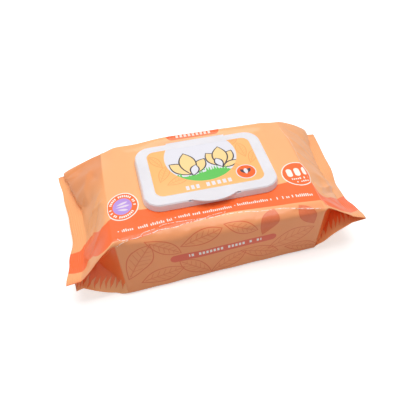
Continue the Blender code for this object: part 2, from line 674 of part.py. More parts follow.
def main():
    for old in list(bpy.data.objects):
        bpy.data.objects.remove(old)
    plastic = material("white_polypropylene", (0.90, 0.88, 0.89), 0.38)
    film_pack()
    lid_base(plastic)
    seal_label(material("seal_film", (0.86, 0.87, 0.90), 0.30))
    cover = lid_cover(plastic)
    label = lid_label(material("printed_label", (0.98, 0.60, 0.28), 0.40))
    hang_on_hinge(cover, label)


main()
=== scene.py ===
"""Wet wipes pack: the looks of its printed film, lid and label, and the studio round it.

Metres, +Z up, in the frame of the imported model. The tab of the lid points to -Y.
"""

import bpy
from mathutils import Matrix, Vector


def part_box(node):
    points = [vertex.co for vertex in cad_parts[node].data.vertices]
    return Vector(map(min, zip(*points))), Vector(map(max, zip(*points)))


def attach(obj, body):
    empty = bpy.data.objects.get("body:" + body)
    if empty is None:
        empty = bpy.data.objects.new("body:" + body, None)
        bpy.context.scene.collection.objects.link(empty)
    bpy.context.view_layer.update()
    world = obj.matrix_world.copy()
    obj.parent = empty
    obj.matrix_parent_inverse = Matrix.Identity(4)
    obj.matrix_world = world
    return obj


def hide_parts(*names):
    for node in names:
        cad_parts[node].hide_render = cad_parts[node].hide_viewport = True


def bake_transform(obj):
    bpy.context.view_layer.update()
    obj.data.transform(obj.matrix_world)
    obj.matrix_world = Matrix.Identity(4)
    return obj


bl_info = {
    "name": "Wet Wipes Pack",
    "version": (1, 0, 0),
    "blender": (4, 5, 0),
    "location": "View3D > Sidebar > Wipes Pack",
    "description": "A film pack of wet wipes with a hinged lid, and the studio round it",
    "category": "Object",
}

from math import acos, cos, degrees, exp, hypot, pi, radians, sin

import bmesh
import bpy
from mathutils import Matrix, Vector, noise

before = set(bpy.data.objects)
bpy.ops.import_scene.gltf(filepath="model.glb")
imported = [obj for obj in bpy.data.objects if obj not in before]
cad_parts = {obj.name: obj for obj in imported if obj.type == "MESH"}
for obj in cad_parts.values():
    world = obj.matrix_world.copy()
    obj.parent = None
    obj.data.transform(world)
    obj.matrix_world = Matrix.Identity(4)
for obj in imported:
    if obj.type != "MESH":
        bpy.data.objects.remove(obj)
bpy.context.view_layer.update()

MM = 0.001

# The film, as its solid has it: round the stack of wipes
BRICK_LENGTH = 159.0 * MM
BRICK_WIDTH = 114.0 * MM
BRICK_HEIGHT = 54.8 * MM
END_EDGE_RADIUS = 2.5 * MM
FRONT_ROLL_REACH = 12.0 * MM
FRONT_ROLL_DROP = 9.0 * MM
BACK_ROLL = 3.0 * MM
BOTTOM_EDGE_RADIUS = 4.0 * MM
SIDE_BULGE = 1.4 * MM
SAG_LENGTH = 14.0 * MM
LID_SEAT_DEPTH = 0.8 * MM
LID_SEAT_MARGIN = 3.0 * MM
LID_SEAT_BLEND = 7.0 * MM
BACK_SEAM_WIDTH = 16.0 * MM
BACK_SEAM_GROOVE = 0.8 * MM
BACK_SEAM_DEPTH = 0.5 * MM

# The gusseted ends and their crimped seals
FLAP_REACH = 31.0 * MM
FIN_WIDTH = 12.0 * MM
FIN_SPREAD = 121.0 * MM
FIN_HEIGHT = 27.0 * MM
LEAF_EDGE = 0.6 * MM
FIN_EDGE = 0.3 * MM

# The lid
LID_LENGTH = 108.0 * MM
LID_WIDTH = 71.4 * MM
LID_CENTRE_X = 0.4 * MM
LID_CENTRE_Y = 6.0 * MM
TAB_REACH = 4.3 * MM
TAB_CHORD = 33.5 * MM
PLATE_LENGTH = 106.8 * MM        # of the cover's top, which laps over the rim
PLATE_WIDTH = 70.2 * MM
PLATE_CORNER = 12.4 * MM
PLATE_THICKNESS = 0.48 * MM
PLATE_RISE = 0.02 * MM
PLATE_EDGE = 0.3 * MM
HINGE_HALF = 25.5 * MM
HINGE_STEP = 1.2 * MM
WINDOW_CORNER = 7.0 * MM
WINDOW_HALF_X = 46.0 * MM        # a little more than half the window in the plate
WINDOW_HALF_Y = 29.0 * MM
LABEL_MARGIN = 0.25 * MM
LABEL_RISE = 0.1 * MM
LABEL_CORNER = 7.25 * MM
LABEL_EDGE = 0.08 * MM
WEB_GAP = 0.05 * MM              # behind the cover
WEB_DROP = 1.6 * MM              # of the foot of the web, below the top of the cover
WEB_RISE = 0.95 * MM             # of the straight part
WEB_RADIUS = 0.65 * MM           # of the bend

# How finely the film is divided
BRICK_ROWS = 108
FLAP_ROWS = 30
FIN_ROWS = 9
ARC_COLUMNS = 7
MIDDLE_COLUMNS = 26
LEAF_COLUMNS = 18
WALL_COLUMNS = 16

HALF_BRICK = BRICK_LENGTH / 2
HALF_HEIGHT = BRICK_HEIGHT / 2
FLAP_LENGTH = hypot(FLAP_REACH, HALF_HEIGHT)
FOLD_MEETS = HALF_HEIGHT / FLAP_LENGTH
HALF_GIRTH = BRICK_WIDTH + BRICK_HEIGHT      # from the middle of the top to the middle below
SEAL_START = (HALF_BRICK + FLAP_LENGTH) / MM
WELD_REACH = 0.0005 * MM

# The folds of the two ends, in millimetres and degrees, across the width from front (-1) to back (+1)
LEFT_END = {
    "inset": ((-1, 0), (-0.6, 3), (-0.25, 7), (0.1, 6), (0.6, 3), (1, 0)),
    "tilt": ((-1, -10), (-0.3, -15), (0.2, -12), (1, -13)),
    "raise": ((-1, -4), (-0.4, -1.5), (0.2, 0), (1, 1.6)),
    "part": ((-1, 4.2), (-0.5, 0.6), (0.5, 0.2), (1, 0.8)),
    "lead": ((-1, 9), (0, 8), (0.6, 5), (1, 3)),
    "over": ((-1, -9), (-0.3, -8), (0.1, -4), (0.43, 10), (0.7, 18), (1, 24)),
    "rise": ((-1, 9), (0.2, 8), (0.6, 3), (1, -1)),
    "sag": ((-1, 0), (0.4, 0), (1, 4)),
    "belly": ((-1, 1.5), (0, 1), (1, 1)),
    "slip": ((-1, 6), (0, 0), (1, 0)),
    "narrow": ((-1, 0), (1, 0)),
    "shut": 0,
    "lean": 4.0 * MM,
}
RIGHT_END = {
    "inset": ((-1, 3), (-0.5, 4), (-0.1, 3.5), (0.4, 3), (1, 2)),
    "tilt": ((-1, -8), (-0.7, -13), (-0.4, -29), (-0.1, -30), (0.25, -10), (1, -2)),
    "raise": ((-1, 5), (-0.5, 1.5), (0, 0), (1, 1.2)),
    "part": ((-1, 3.5), (-0.5, 0.4), (1, 1.2)),
    "lead": ((-1, 3), (0, 3), (1, 5)),
    "over": ((-1, -10), (-0.6, -5), (-0.3, 1), (0.1, -3), (0.6, 4), (1, 16)),
    "rise": ((-1, 8), (-0.3, 9), (0.5, 8), (1, 3)),
    "sag": ((-1, 0.5), (0.5, 0), (1, 1)),
    "belly": ((-1, -1.2), (-0.3, 0.6), (1, 1)),
    "slip": ((-1, 0), (1, 0)),
    "narrow": ((-1, 4), (0, 0), (1, 1)),
    "shut": 0.9,
    "lean": 0.0 * MM,
}
END_FORMS = {-1: LEFT_END, 1: RIGHT_END}

# Soft waves of the ends and of the sides
BROAD_WAVE = 17.0                # from swell to swell, in millimetres
FINE_WAVE = 6.5
FINE_SHARE = 0.45
SEAL_UNREST = 0.6                # of the waves of the flaps, in the seals
SIDE_WAVE = 0.18 * MM

# How far the front stands out at its foot and at its head, along X
FRONT_FOOT = ((-79.5, 4.8), (-50, 3.4), (-25, 1.6), (3, 0.2), (31, -1.2), (60, -2.6), (79.5, -3.2))
FRONT_HEAD = ((-79.5, -3), (-53, -1.5), (0, 0), (53, 1.5), (79.5, 3))

# Rise of the top behind the lid, along X, and its start and length in Y
BACK_CROWN = ((-79.5, 0), (-55, 0.2), (-20, 3), (20, 2.2), (50, 1.3), (79.5, 0))
CROWN_START = 44.0 * MM
CROWN_LENGTH = 9.0 * MM

# Soft dents: middle, half sizes and depth, in the plane of the face
FRONT_DENTS = (
    ((-18, 47), (15, 9), 1.6),
    ((34, 44), (20, 8), 1.2),
    ((-62, 26), (14, 20), 1.3),
    ((12, 18), (30, 12), 0.8),
)
FLAP_DENTS = (
    ((93, -22), (9, 12), 2.6),
    ((98, 20), (10, 9), 1.2),
    ((-96, 36), (9, 16), -1.4),
    ((-96, 4), (8, 14), 1.6),
    ((-95, -34), (8, 10), -1.2),
)

# Creases, in millimetres of flat film: start, end, half width and height.
# On the ends they are placed by the distance past the vertical fold and by Y.
LEFT_CREASES = (
    ((53, 58), (41, 24), 1.1, -0.9),
    ((41, 24), (40.5, 2), 1, -0.4),
    ((40, 51), (16, 53), 1.3, -0.5),
    ((38, 55), (22, 45), 0.9, 0.5),
    ((40, 48), (32, 43), 0.8, 0.45),
    ((36, 57), (33, 49), 0.7, 0.4),
    ((12, 40), (26, 8), 3, 0.7),
    ((20, 52), (9, 22), 2.6, -0.6),
    ((8, 4), (34, -14), 2.2, 0.6),
    ((14, -6), (38, -30), 1.6, -0.5),
    ((3, -28), (30, -44), 2, 0.6),
    ((26, 16), (40, 10), 0.9, 0.45),
    ((28, 8), (41, 17), 0.9, -0.4),
    ((40, -36), (30, -50), 1.2, 0.5),
    ((8, -7), (27, -5.5), 1.2, 0.7),
    ((27, -5.5), (42, -18), 1.3, 0.8),
)
RIGHT_CREASES = (
    ((14, -33), (28.5, -21.5), 0.9, 0.9),
    ((28.5, -21.5), (46, -11), 1, 0.8),
    ((17, -36.5), (31, -26), 1.5, -1),
    ((31, -26), (46, -15), 1.6, -0.9),
    ((6, -28), (14, -22), 2, -0.5),
    ((36, 12), (43, 3), 0.8, 0.5),
    ((33, 8), (42, 8), 0.8, -0.5),
    ((32, 1), (41, 5), 0.7, 0.45),
    ((4, 32), (30, 14), 2.6, 0.6),
    ((6, 12), (30, 0), 2.2, 0.5),
    ((8, 48), (36, 36), 2.6, -0.6),
    ((3, -48), (26, -52), 1.4, 0.5),
    ((10, -40), (34, -46), 1.8, -0.5),
    ((24, 54), (38, 44), 1, 0.4),
    ((25, 48.5), (26, 42), 0.7, 0.6),
)
END_CREASES = {-1: LEFT_CREASES, 1: RIGHT_CREASES}

# On the brick they are placed along X, and round the girth from the top's middle
BRICK_CREASES = (
    ((-76.7, -53.4), (-74.1, -55.6), 0.6, 0.5),
    ((-78.9, -59.8), (-82.1, -72.3), 0.8, 0.5),
    ((-74.7, -58.9), (-68.9, -69.5), 1, -0.5),
    ((-20.3, -50.2), (-23.5, -63.8), 1.1, -0.6),
    ((-20, -51.9), (-28.9, -59.3), 1, 0.45),
    ((30, -48.1), (25.2, -55), 0.9, -0.4),
    ((76.5, -62), (76.5, -80), 0.9, 0.4),
    ((70, -58), (60, -84), 1.8, 0.4),
    ((-72, -60), (-50, -88), 2, 0.45),
    ((-76, -72), (-60, -98), 1.8, -0.4),
    ((40, -64), (64, -72), 1.8, 0.3),
    ((50, -104), (20, -90), 2.2, 0.35),
    ((-30, -106), (-6, -88), 2.2, 0.3),
    ((-74, 50), (-60, 57), 1.2, 0.35),
    ((72, 52), (60, 57), 1.2, 0.3),
    ((-40, 66), (-64, 88), 2, 0.4),
    ((36, 70), (62, 92), 2, 0.4),
)

# Borders and folds of the flat film: along X, and round the girth from the top's middle
PRINT_SPAN = 132
BAND_TOP = ((-132, -28.3), (-125.2, -28.6), (-121.6, -23.4), (-115.3, -22), (-100.7, -28.8), (-89.3, -33),
            (-82.1, -31.6), (-57.4, -24.6), (-52.5, -24.9), (47.6, -23.7), (62.2, -22.7), (81, -26),
            (86, -37), (92.3, -41.7), (102.4, -38.3), (132, -22))
BAND_LOW = ((-132, -48), (-117.9, -50.5), (-113.1, -46.8), (-102.4, -51.9), (-87.2, -56.1), (-77.4, -54.7),
            (-68.5, -55.2), (-57.6, -53.6), (-41.8, -50.7), (-20.6, -47.9), (-1.1, -45.8), (10.1, -44.5),
            (31.3, -45.1), (54.9, -46.1), (79.2, -46.6), (88.7, -53.5), (101.8, -55.1), (114.6, -53.7),
            (124, -49.8), (132, -45))
FRONT_FOLD = ((-132, -66), (-82, -62), (-78.9, -59.8), (-74.9, -57.3), (-68.5, -55.2), (-62.8, -54),
              (-50.8, -51.8), (-45.8, -50.5), (-33.5, -50), (-27.1, -48.1), (-11.6, -46.8), (-1.1, -46),
              (10, -45.9), (21.8, -46.6), (32, -48.3), (43.2, -48.6), (58.9, -52), (74.8, -54.4), (132, -58))
SECOND_FOLD = ((-132, -54.5), (-65.5, -54.5), (-57.9, -50.4), (-46.8, -48), (-38.7, -45.4), (-25.3, -45.4),
               (-14.6, -46.1), (-7.7, -44.5), (4.2, -43.4), (132, -43))
CORNER_FOLD = ((-132, -52.6), (-76.7, -53.2), (-74.1, -55.2), (-69, -54.6), (132, -54.6))
# Folds that carry a painted highlight, and where along X it runs
FOLD_HIGHLIGHTS = ((FRONT_FOLD, -79.0, 76.5), (SECOND_FOLD, -66.0, 5.0), (CORNER_FOLD, -77.0, -69.0))
FRONT_STEP = 1.0                 # sink of the strip below the front fold, in millimetres
FRONT_RIDGE = 0.38               # height of the fold itself
SECOND_RIDGE = 0.22
RIDGE_SHARPNESS = 1.4            # of the slopes of every fold and crease

# Fold at the right end, round the girth and along X, and where a painted highlight runs down it
RIGHT_FOLD = ((-132, 90), (-60, 90), (-53, 89.2), (-47.4, 84.5), (-38, 83.3), (-24.9, 85.6), (-6.9, 84.3),
              (18.2, 85.4), (49, 79.6), (132, 79.6))
RIGHT_FOLD_SPAN = (-54.0, 46.0)

# Soft borders of the fields of colour, of print, painted shade and painted light: where each starts and where
# it is full
FRONT_FIELD = (-44, -51)         # round the girth
SHADE_BACK = (-8, 34)
SIDE_FIELD = (54, 62)            # round the girth, towards the front and the back
UNDER_FIELD = (108, 114)
TUCKED_FIELD = (59.4, 60.6)
# Painted light: the lower leaves of the tucked-in sides take the paler ground again, against their shade
LOW_LEAF_PAINTED_LIGHT = (86, 98)
SHADE_INNER = (-79.2, -82)       # along X
SHADE_OUTER = (-126, -114)
BRICK_FIELD = (81, 79)           # along X, towards both ends
END_FIELD = (79.2, 82)
PAST_END = (79.6, 81)

# Small print: middle, turn, half length and seed of each line
PRINT_ROWS = (
    ((-54, -43.4), 5.8, 18.7, 3),
    ((-9.8, -39.3), 1.7, 20.6, 40),
    ((30.2, -37.7), 0, 14.7, 90),
    ((61.6, -38.7), -2.6, 14.4, 71),
)
PRINT_DOTS = ((-75.2, -45.6), (-32.6, -40.5), (13.7, -38.2))
PRINT_DOT_RADIUS = 0.55
SMALL_LETTER = 0.7               # height of a small letter, as a share of a tall one
LETTER_HALF = 0.31               # half width of a letter, as a share of the pitch
ALL_TALL = -1.0
NO_BLANK = -1.0

# Badges and bars
LEFT_BADGE = (-69.1, -18.7)
LEFT_BADGE_LEAN = 0.13
LEFT_BADGE_SQUEEZE = (1.08, 0.86, 0)
RIGHT_BADGE = (73.4, -15.5)
BADGE_RADIUS = 13.4
BADGE_RIM = 0.9
LILAC_RADIUS = 7.9
RING_RADIUS = 10.2
RING_MARKS = 38
FRONT_PILL = (0, -79.6)
FRONT_PILL_TURN = radians(3.3)
BACK_PILL = (1.2, 54.4)

# Drawn leaves: middle, turn, length, width and share of fill
FRONT_LEAVES = (
    ((-66, -79), 58, 40, 18, 0),
    ((-50, -98), 14, 36, 15, 0),
    ((-46, -67), -34, 30, 12, 0),
    ((-17, -63), 20, 34, 13, 0),
    ((-23, -96), 140, 32, 14, 0),
    ((4, -99), 32, 34, 14, 0),
    ((14, -60), -24, 28, 11, 0),
    ((30, -94), -20, 34, 14, 0),
    ((36, -60), 66, 26, 13, 0.9),
    ((67, -60), 116, 25, 12, 0.9),
    ((55, -84), 24, 40, 18, 0),
    ((66, -101), -16, 30, 12, 0),
)
BACK_LEAVES = (
    ((-58, 82), 30, 36, 15, 0.6),
    ((-24, 92), -24, 34, 13, 0),
    ((10, 78), 18, 32, 13, 0),
    ((40, 94), -42, 34, 14, 0.6),
    ((66, 76), 64, 30, 12, 0),
)
LABEL_LEAVES = (
    ((-34, -2), 64, 20, 8, 0),
    ((-38, 14), 118, 18, 7, 0),
    ((-24, -12), 20, 20, 8, 0),
    ((35, 12), 96, 19, 8, 0),
    ((29, 24), 40, 17, 7, 0.25),
    ((22, -6), -34, 18, 7, 0),
    ((42, 2), 62, 18, 7, 0),
)
LEAF_LEAN = 0.25
LEAF_TIP = 1.03                  # end of a leaf, in half lengths
VEIN_SLANT = 0.8
VEIN_PITCH = 0.14                # in lengths of the leaf
VEIN_WIDTH = 0.8                 # in widths of its line
VEIN_MARGIN = 1.6
VEIN_STRENGTH = 0.7
FILM_LINE = 0.95                 # width of the drawn lines
LABEL_LINE = 0.6
PLANT_LINE = 1.15

# Spiky blades on the tucked-in sides
BLADE_PITCH = 5.0
BLADE_HEIGHT = 11.0
BLADE_FOOT = 107.0               # round the girth
BLADE_SLANT = 0.4
BLADE_WANDER = 7.0
BLADE_LINE = 0.6

# The label and the seal, in millimetres
LABEL_MIDDLE = (0.4, 6.8)
DISC_MIDDLE = (-0.5, 12.6)
DISC_RADIUS = 30.3
LABEL_BADGE = (31.1, -15.5)
LABEL_BADGE_RADIUS = 8.3
TITLE_ROWS = (((-14.6, -22.6), 6.2, 4.13), ((6.9, -21.9), 11.2, 4.48))
HILL_SWELL = 1.8
HILL_HEIGHT = -8.2
SEAL_GRID = 4.2
SEAL_TIP = (18.5, 20.5)
PLANTS = (                       # foot, turn, length, width, lean and fill, those in front last
    ((-11, -8), 137, 23, 11, 0.15, "petal"),
    ((-11, -8), 52, 21, 10, 0.15, "petal"),
    ((-11, -9), 96, 28, 13.5, 0.2, "petal"),
    ((-11, -9.5), 70, 13, 7, 0.2, "disc"),
    ((14.5, -4), 118, 21, 11, 0.15, "petal"),
    ((14.5, -4), 56, 21, 10, 0.15, "petal"),
    ((14.5, -4.5), 86, 25, 12.5, 0.1, "petal"),
    ((14.5, -5), 106, 12, 6.5, 0.2, "disc"),
    ((14.5, -5.5), 22, 15, 6, 0.1, "petal"),
)

# Of every print and every drawn shape
UV_SCALE = 100.0                 # millimetres of flat film in one unit of its UV map
EDGE_SOFTNESS = 0.18             # in millimetres
PRINT_STRENGTH = 0.8
SHAPE_PLACE = {"Position": None, "Middle": None, "Turn": 0.0}

# The camera, and the lamps: place, target and sizes, in metres
CAMERA_TARGET = Vector((-4.65, 4.04, 24.02)) * MM
CAMERA_TURN = radians(-11.89)
CAMERA_RISE = radians(45.05)
CAMERA_ROLL = radians(-1.92)
CAMERA_DISTANCE = 461.6 * MM
CAMERA_SENSOR = 36.0             # millimetres
CAMERA_LENS = 48.2
KEY_LAMP = ((0.05, 0.16, 1.12), (0.0, 0.0, 0.03), (1.1, 0.9))
FILL_LAMP = ((-0.62, 0.0, 0.24), (-0.1, 0.0, 0.03), (0.5, 0.36))
FLOOR_SIZE = 3.0
FLOOR_GLOW = 0.55
WHITE = (1.0, 1.0, 1.0, 1.0)


def tone(red, green, blue):
    """Linear colour of a screen colour that is given from 0 to 255."""
    shares = (value / 255 for value in (red, green, blue))
    return tuple(s / 12.92 if s <= 0.04045 else ((s + 0.055) / 1.055) ** 2.4 for s in shares)


def colour_prop(name, description, default):
    return bpy.props.FloatVectorProperty(name=name, description=description, subtype="COLOR",
                                         size=3, min=0.0, max=1.0, default=default)


def length_prop(name, description, default, low=0.0, high=0.05):
    return bpy.props.FloatProperty(name=name, description=description, unit="LENGTH", precision=5,
                                   min=low, max=high, default=default)


def amount_prop(name, description, default, low=0.0, high=1.0):
    return bpy.props.FloatProperty(name=name, description=description, min=low, max=high,
                                   default=default)


class WipesFilmSettings(bpy.types.PropertyGroup):
    """Sizes and colours of the film: print colours, and the colours of painted shade, light and highlights.
    """
    leaf_thickness: length_prop("Leaf thickness", "Of the film in the leaves beside a gusset", 0.3 * MM)
    fin_thickness: length_prop("Seal thickness", "Of the crimped end seals", 0.7 * MM)
    crease_height: amount_prop("Crease height", "Times the height of every crease", 1.3, 0.0, 3.0)
    ripple_height: length_prop("Ripple height", "Of the soft waves of the flaps", 0.35 * MM)
    crimp_pitch: length_prop("Crimp pitch", "From rib to rib of the end seals", 1.8 * MM, 0.0003)
    ground: colour_prop("Ground", "Pale orange that fills the film", tone(253, 183, 124))
    # Painted shade: the ends are the same film as the top, and this deeper ground stands in for the shade of
    # the tilted ends and the light through them
    end_painted_shade: colour_prop("Flap", "Ground of the ends", tone(251, 174, 113))
    # Painted shade: a darker ground at the back of the left end, where the film turns away from the light
    left_end_painted_shade: colour_prop("Flap shade", "Ground at the back of the left end", tone(236, 148, 88))
    band: colour_prop("Band", "Bright orange of the band, the pill and the badges", tone(254, 110, 46))
    # Painted shade: a deeper, warmer ground on the front, back and gussets, which stand in shade below the
    # lit top
    side_painted_shade: colour_prop("Side ground", "Ground of the front, back and gussets", tone(248, 160, 104))
    # Partly print, partly painted light: the saturated orange also stands in for light that shines through
    # the film and bounces inside the tucked-in sides
    gusset_print_and_painted_light: colour_prop("Gusset", "Deep orange inside the tucked-in sides", tone(252, 108, 36))
    line: colour_prop("Line", "Of the drawn leaves", tone(226, 98, 56))
    pill: colour_prop("Pill", "Of the bar on the front", tone(232, 104, 76))
    # White of the small print and the badges, also used for the painted highlights along the folds
    mark: colour_prop("Mark", "Of the small print", tone(255, 246, 236))
    lilac: colour_prop("Lilac", "Middle of the left badge", tone(186, 150, 226))


class WipesLidSettings(bpy.types.PropertyGroup):
    """Sizes and colours of the lid, its seal and its label."""
    plastic: colour_prop("Plastic", "Of the rigid lid", tone(236, 231, 236))
    seal: colour_prop("Seal", "Of the peel-off seal", tone(232, 236, 242))
    web_length: length_prop("Web length", "Of the living hinge along the lid", 45.0 * MM, 0.005, 0.1)
    web_thickness: length_prop("Web thickness", "Of the living hinge", 0.2 * MM, 0.0001, 0.002)
    label_ground: colour_prop("Label ground", "Orange of the label", tone(254, 190, 118))
    label_line: colour_prop("Label line", "Of the leaves drawn on the label", tone(247, 160, 92))
    disc: colour_prop("Disc", "Pale disc of the label", tone(230, 228, 236))
    meadow: colour_prop("Meadow", "Green hill on the disc", tone(100, 197, 90))
    petal: colour_prop("Petal", "Fill of the drawn plant", tone(251, 217, 152))
    outline: colour_prop("Outline", "Outlines of the drawn plant", tone(66, 60, 70))
    badge: colour_prop("Badge", "Round badge of the label", tone(246, 106, 44))


class WipesStageSettings(bpy.types.PropertyGroup):
    """Light and backdrop."""
    floor: colour_prop("Floor", "Of the studio floor", (0.80, 0.80, 0.80))
    sky: amount_prop("Sky", "Strength of the even light from all round", 0.34)
    key: amount_prop("Key", "Power of the large lamp above, in watts", 10.8, 0.0, 200.0)
    fill: amount_prop("Fill", "Power of the small lamp on the left, in watts", 0.34, 0.0, 200.0)


def smooth(value):
    """0 to 1 with a soft start and end."""
    value = min(max(value, 0.0), 1.0)
    return value * value * (3 - 2 * value)


def mix(start, end, share):
    return start + (end - start) * share


def across(knots, eta):
    """The value at eta of a smooth curve through (eta, value) knots."""
    if eta <= knots[0][0]:
        return knots[0][1]
    for (low, first), (high, last) in zip(knots, knots[1:]):
        if eta <= high:
            return mix(first, last, smooth((eta - low) / (high - low)))
    return knots[-1][1]


def dent(dents, a, b):
    """Depth at (a, b) of a set of soft elliptical dents."""
    depth = 0.0
    for (mid_a, mid_b), (half_a, half_b), deepest in dents:
        away = hypot((a / MM - mid_a) / half_a, (b / MM - mid_b) / half_b)
        depth += deepest * (1 - smooth(away))
    return depth * MM


def creased(creases, a, b):
    """Height at (a, b), in millimetres, of sharp creases that fade out at their ends."""
    height = 0.0
    for (a0, b0), (a1, b1), wide, high in creases:
        run_a, run_b = a1 - a0, b1 - b0
        share = ((a - a0) * run_a + (b - b0) * run_b) / (run_a ** 2 + run_b ** 2)
        if not -0.15 < share < 1.15:
            continue
        held = min(max(share, 0.0), 1.0)
        away = hypot(a - a0 - run_a * held, b - b0 - run_b * held) / wide
        if away < 4:
            height += high * exp(-abs(away) ** RIDGE_SHARPNESS) * min(1, 4 * held + 0.5, 4.5 - 4 * held)
    return height * MM


def front_folds(along, girth):
    """Height of the two long folds at the front edge of the top, and of the strip that sinks below."""
    below = girth - across(FRONT_FOLD, along)
    height = FRONT_RIDGE * exp(-abs(below / 0.8) ** RIDGE_SHARPNESS)
    if below < 0:
        height -= FRONT_STEP * (1 - exp(below / 1.5)) * exp(below / 8)
    above = girth - across(SECOND_FOLD, along)
    here = smooth((along + 66) / 4) * smooth((6 - along) / 6)
    return (height + SECOND_RIDGE * here * exp(-abs(above / 0.6) ** RIDGE_SHARPNESS)) * MM


def fold(end, name, eta):
    """One of the folds of an end, in metres."""
    return across(END_FORMS[end][name], eta) * MM


def bezier(points, share):
    """Point of a cubic curve in the XZ plane."""
    back = 1 - share
    weights = (back ** 3, 3 * back * back * share, 3 * back * share * share, share ** 3)
    return tuple(sum(w * p[i] for w, p in zip(weights, points)) for i in (0, 1))


def valley_eta():
    """Where the fold of a gusset meets the end seal, across the width."""
    return 1 - HALF_HEIGHT / (FIN_SPREAD / 2)


def split(eta):
    """0 over the middle of a seal, rising to 1 at the outer edge of its leaves."""
    return smooth((abs(eta) - valley_eta()) / (1 - valley_eta()))


def lid_seat(x, y):
    """0 away from the lid, 1 where the film lies flat under it."""
    over_x = abs(x - LID_CENTRE_X) - LID_LENGTH / 2 - LID_SEAT_MARGIN
    over_y = abs(y - LID_CENTRE_Y) - LID_WIDTH / 2 - LID_SEAT_MARGIN
    return 1 - smooth(max(over_x, over_y) / LID_SEAT_BLEND)


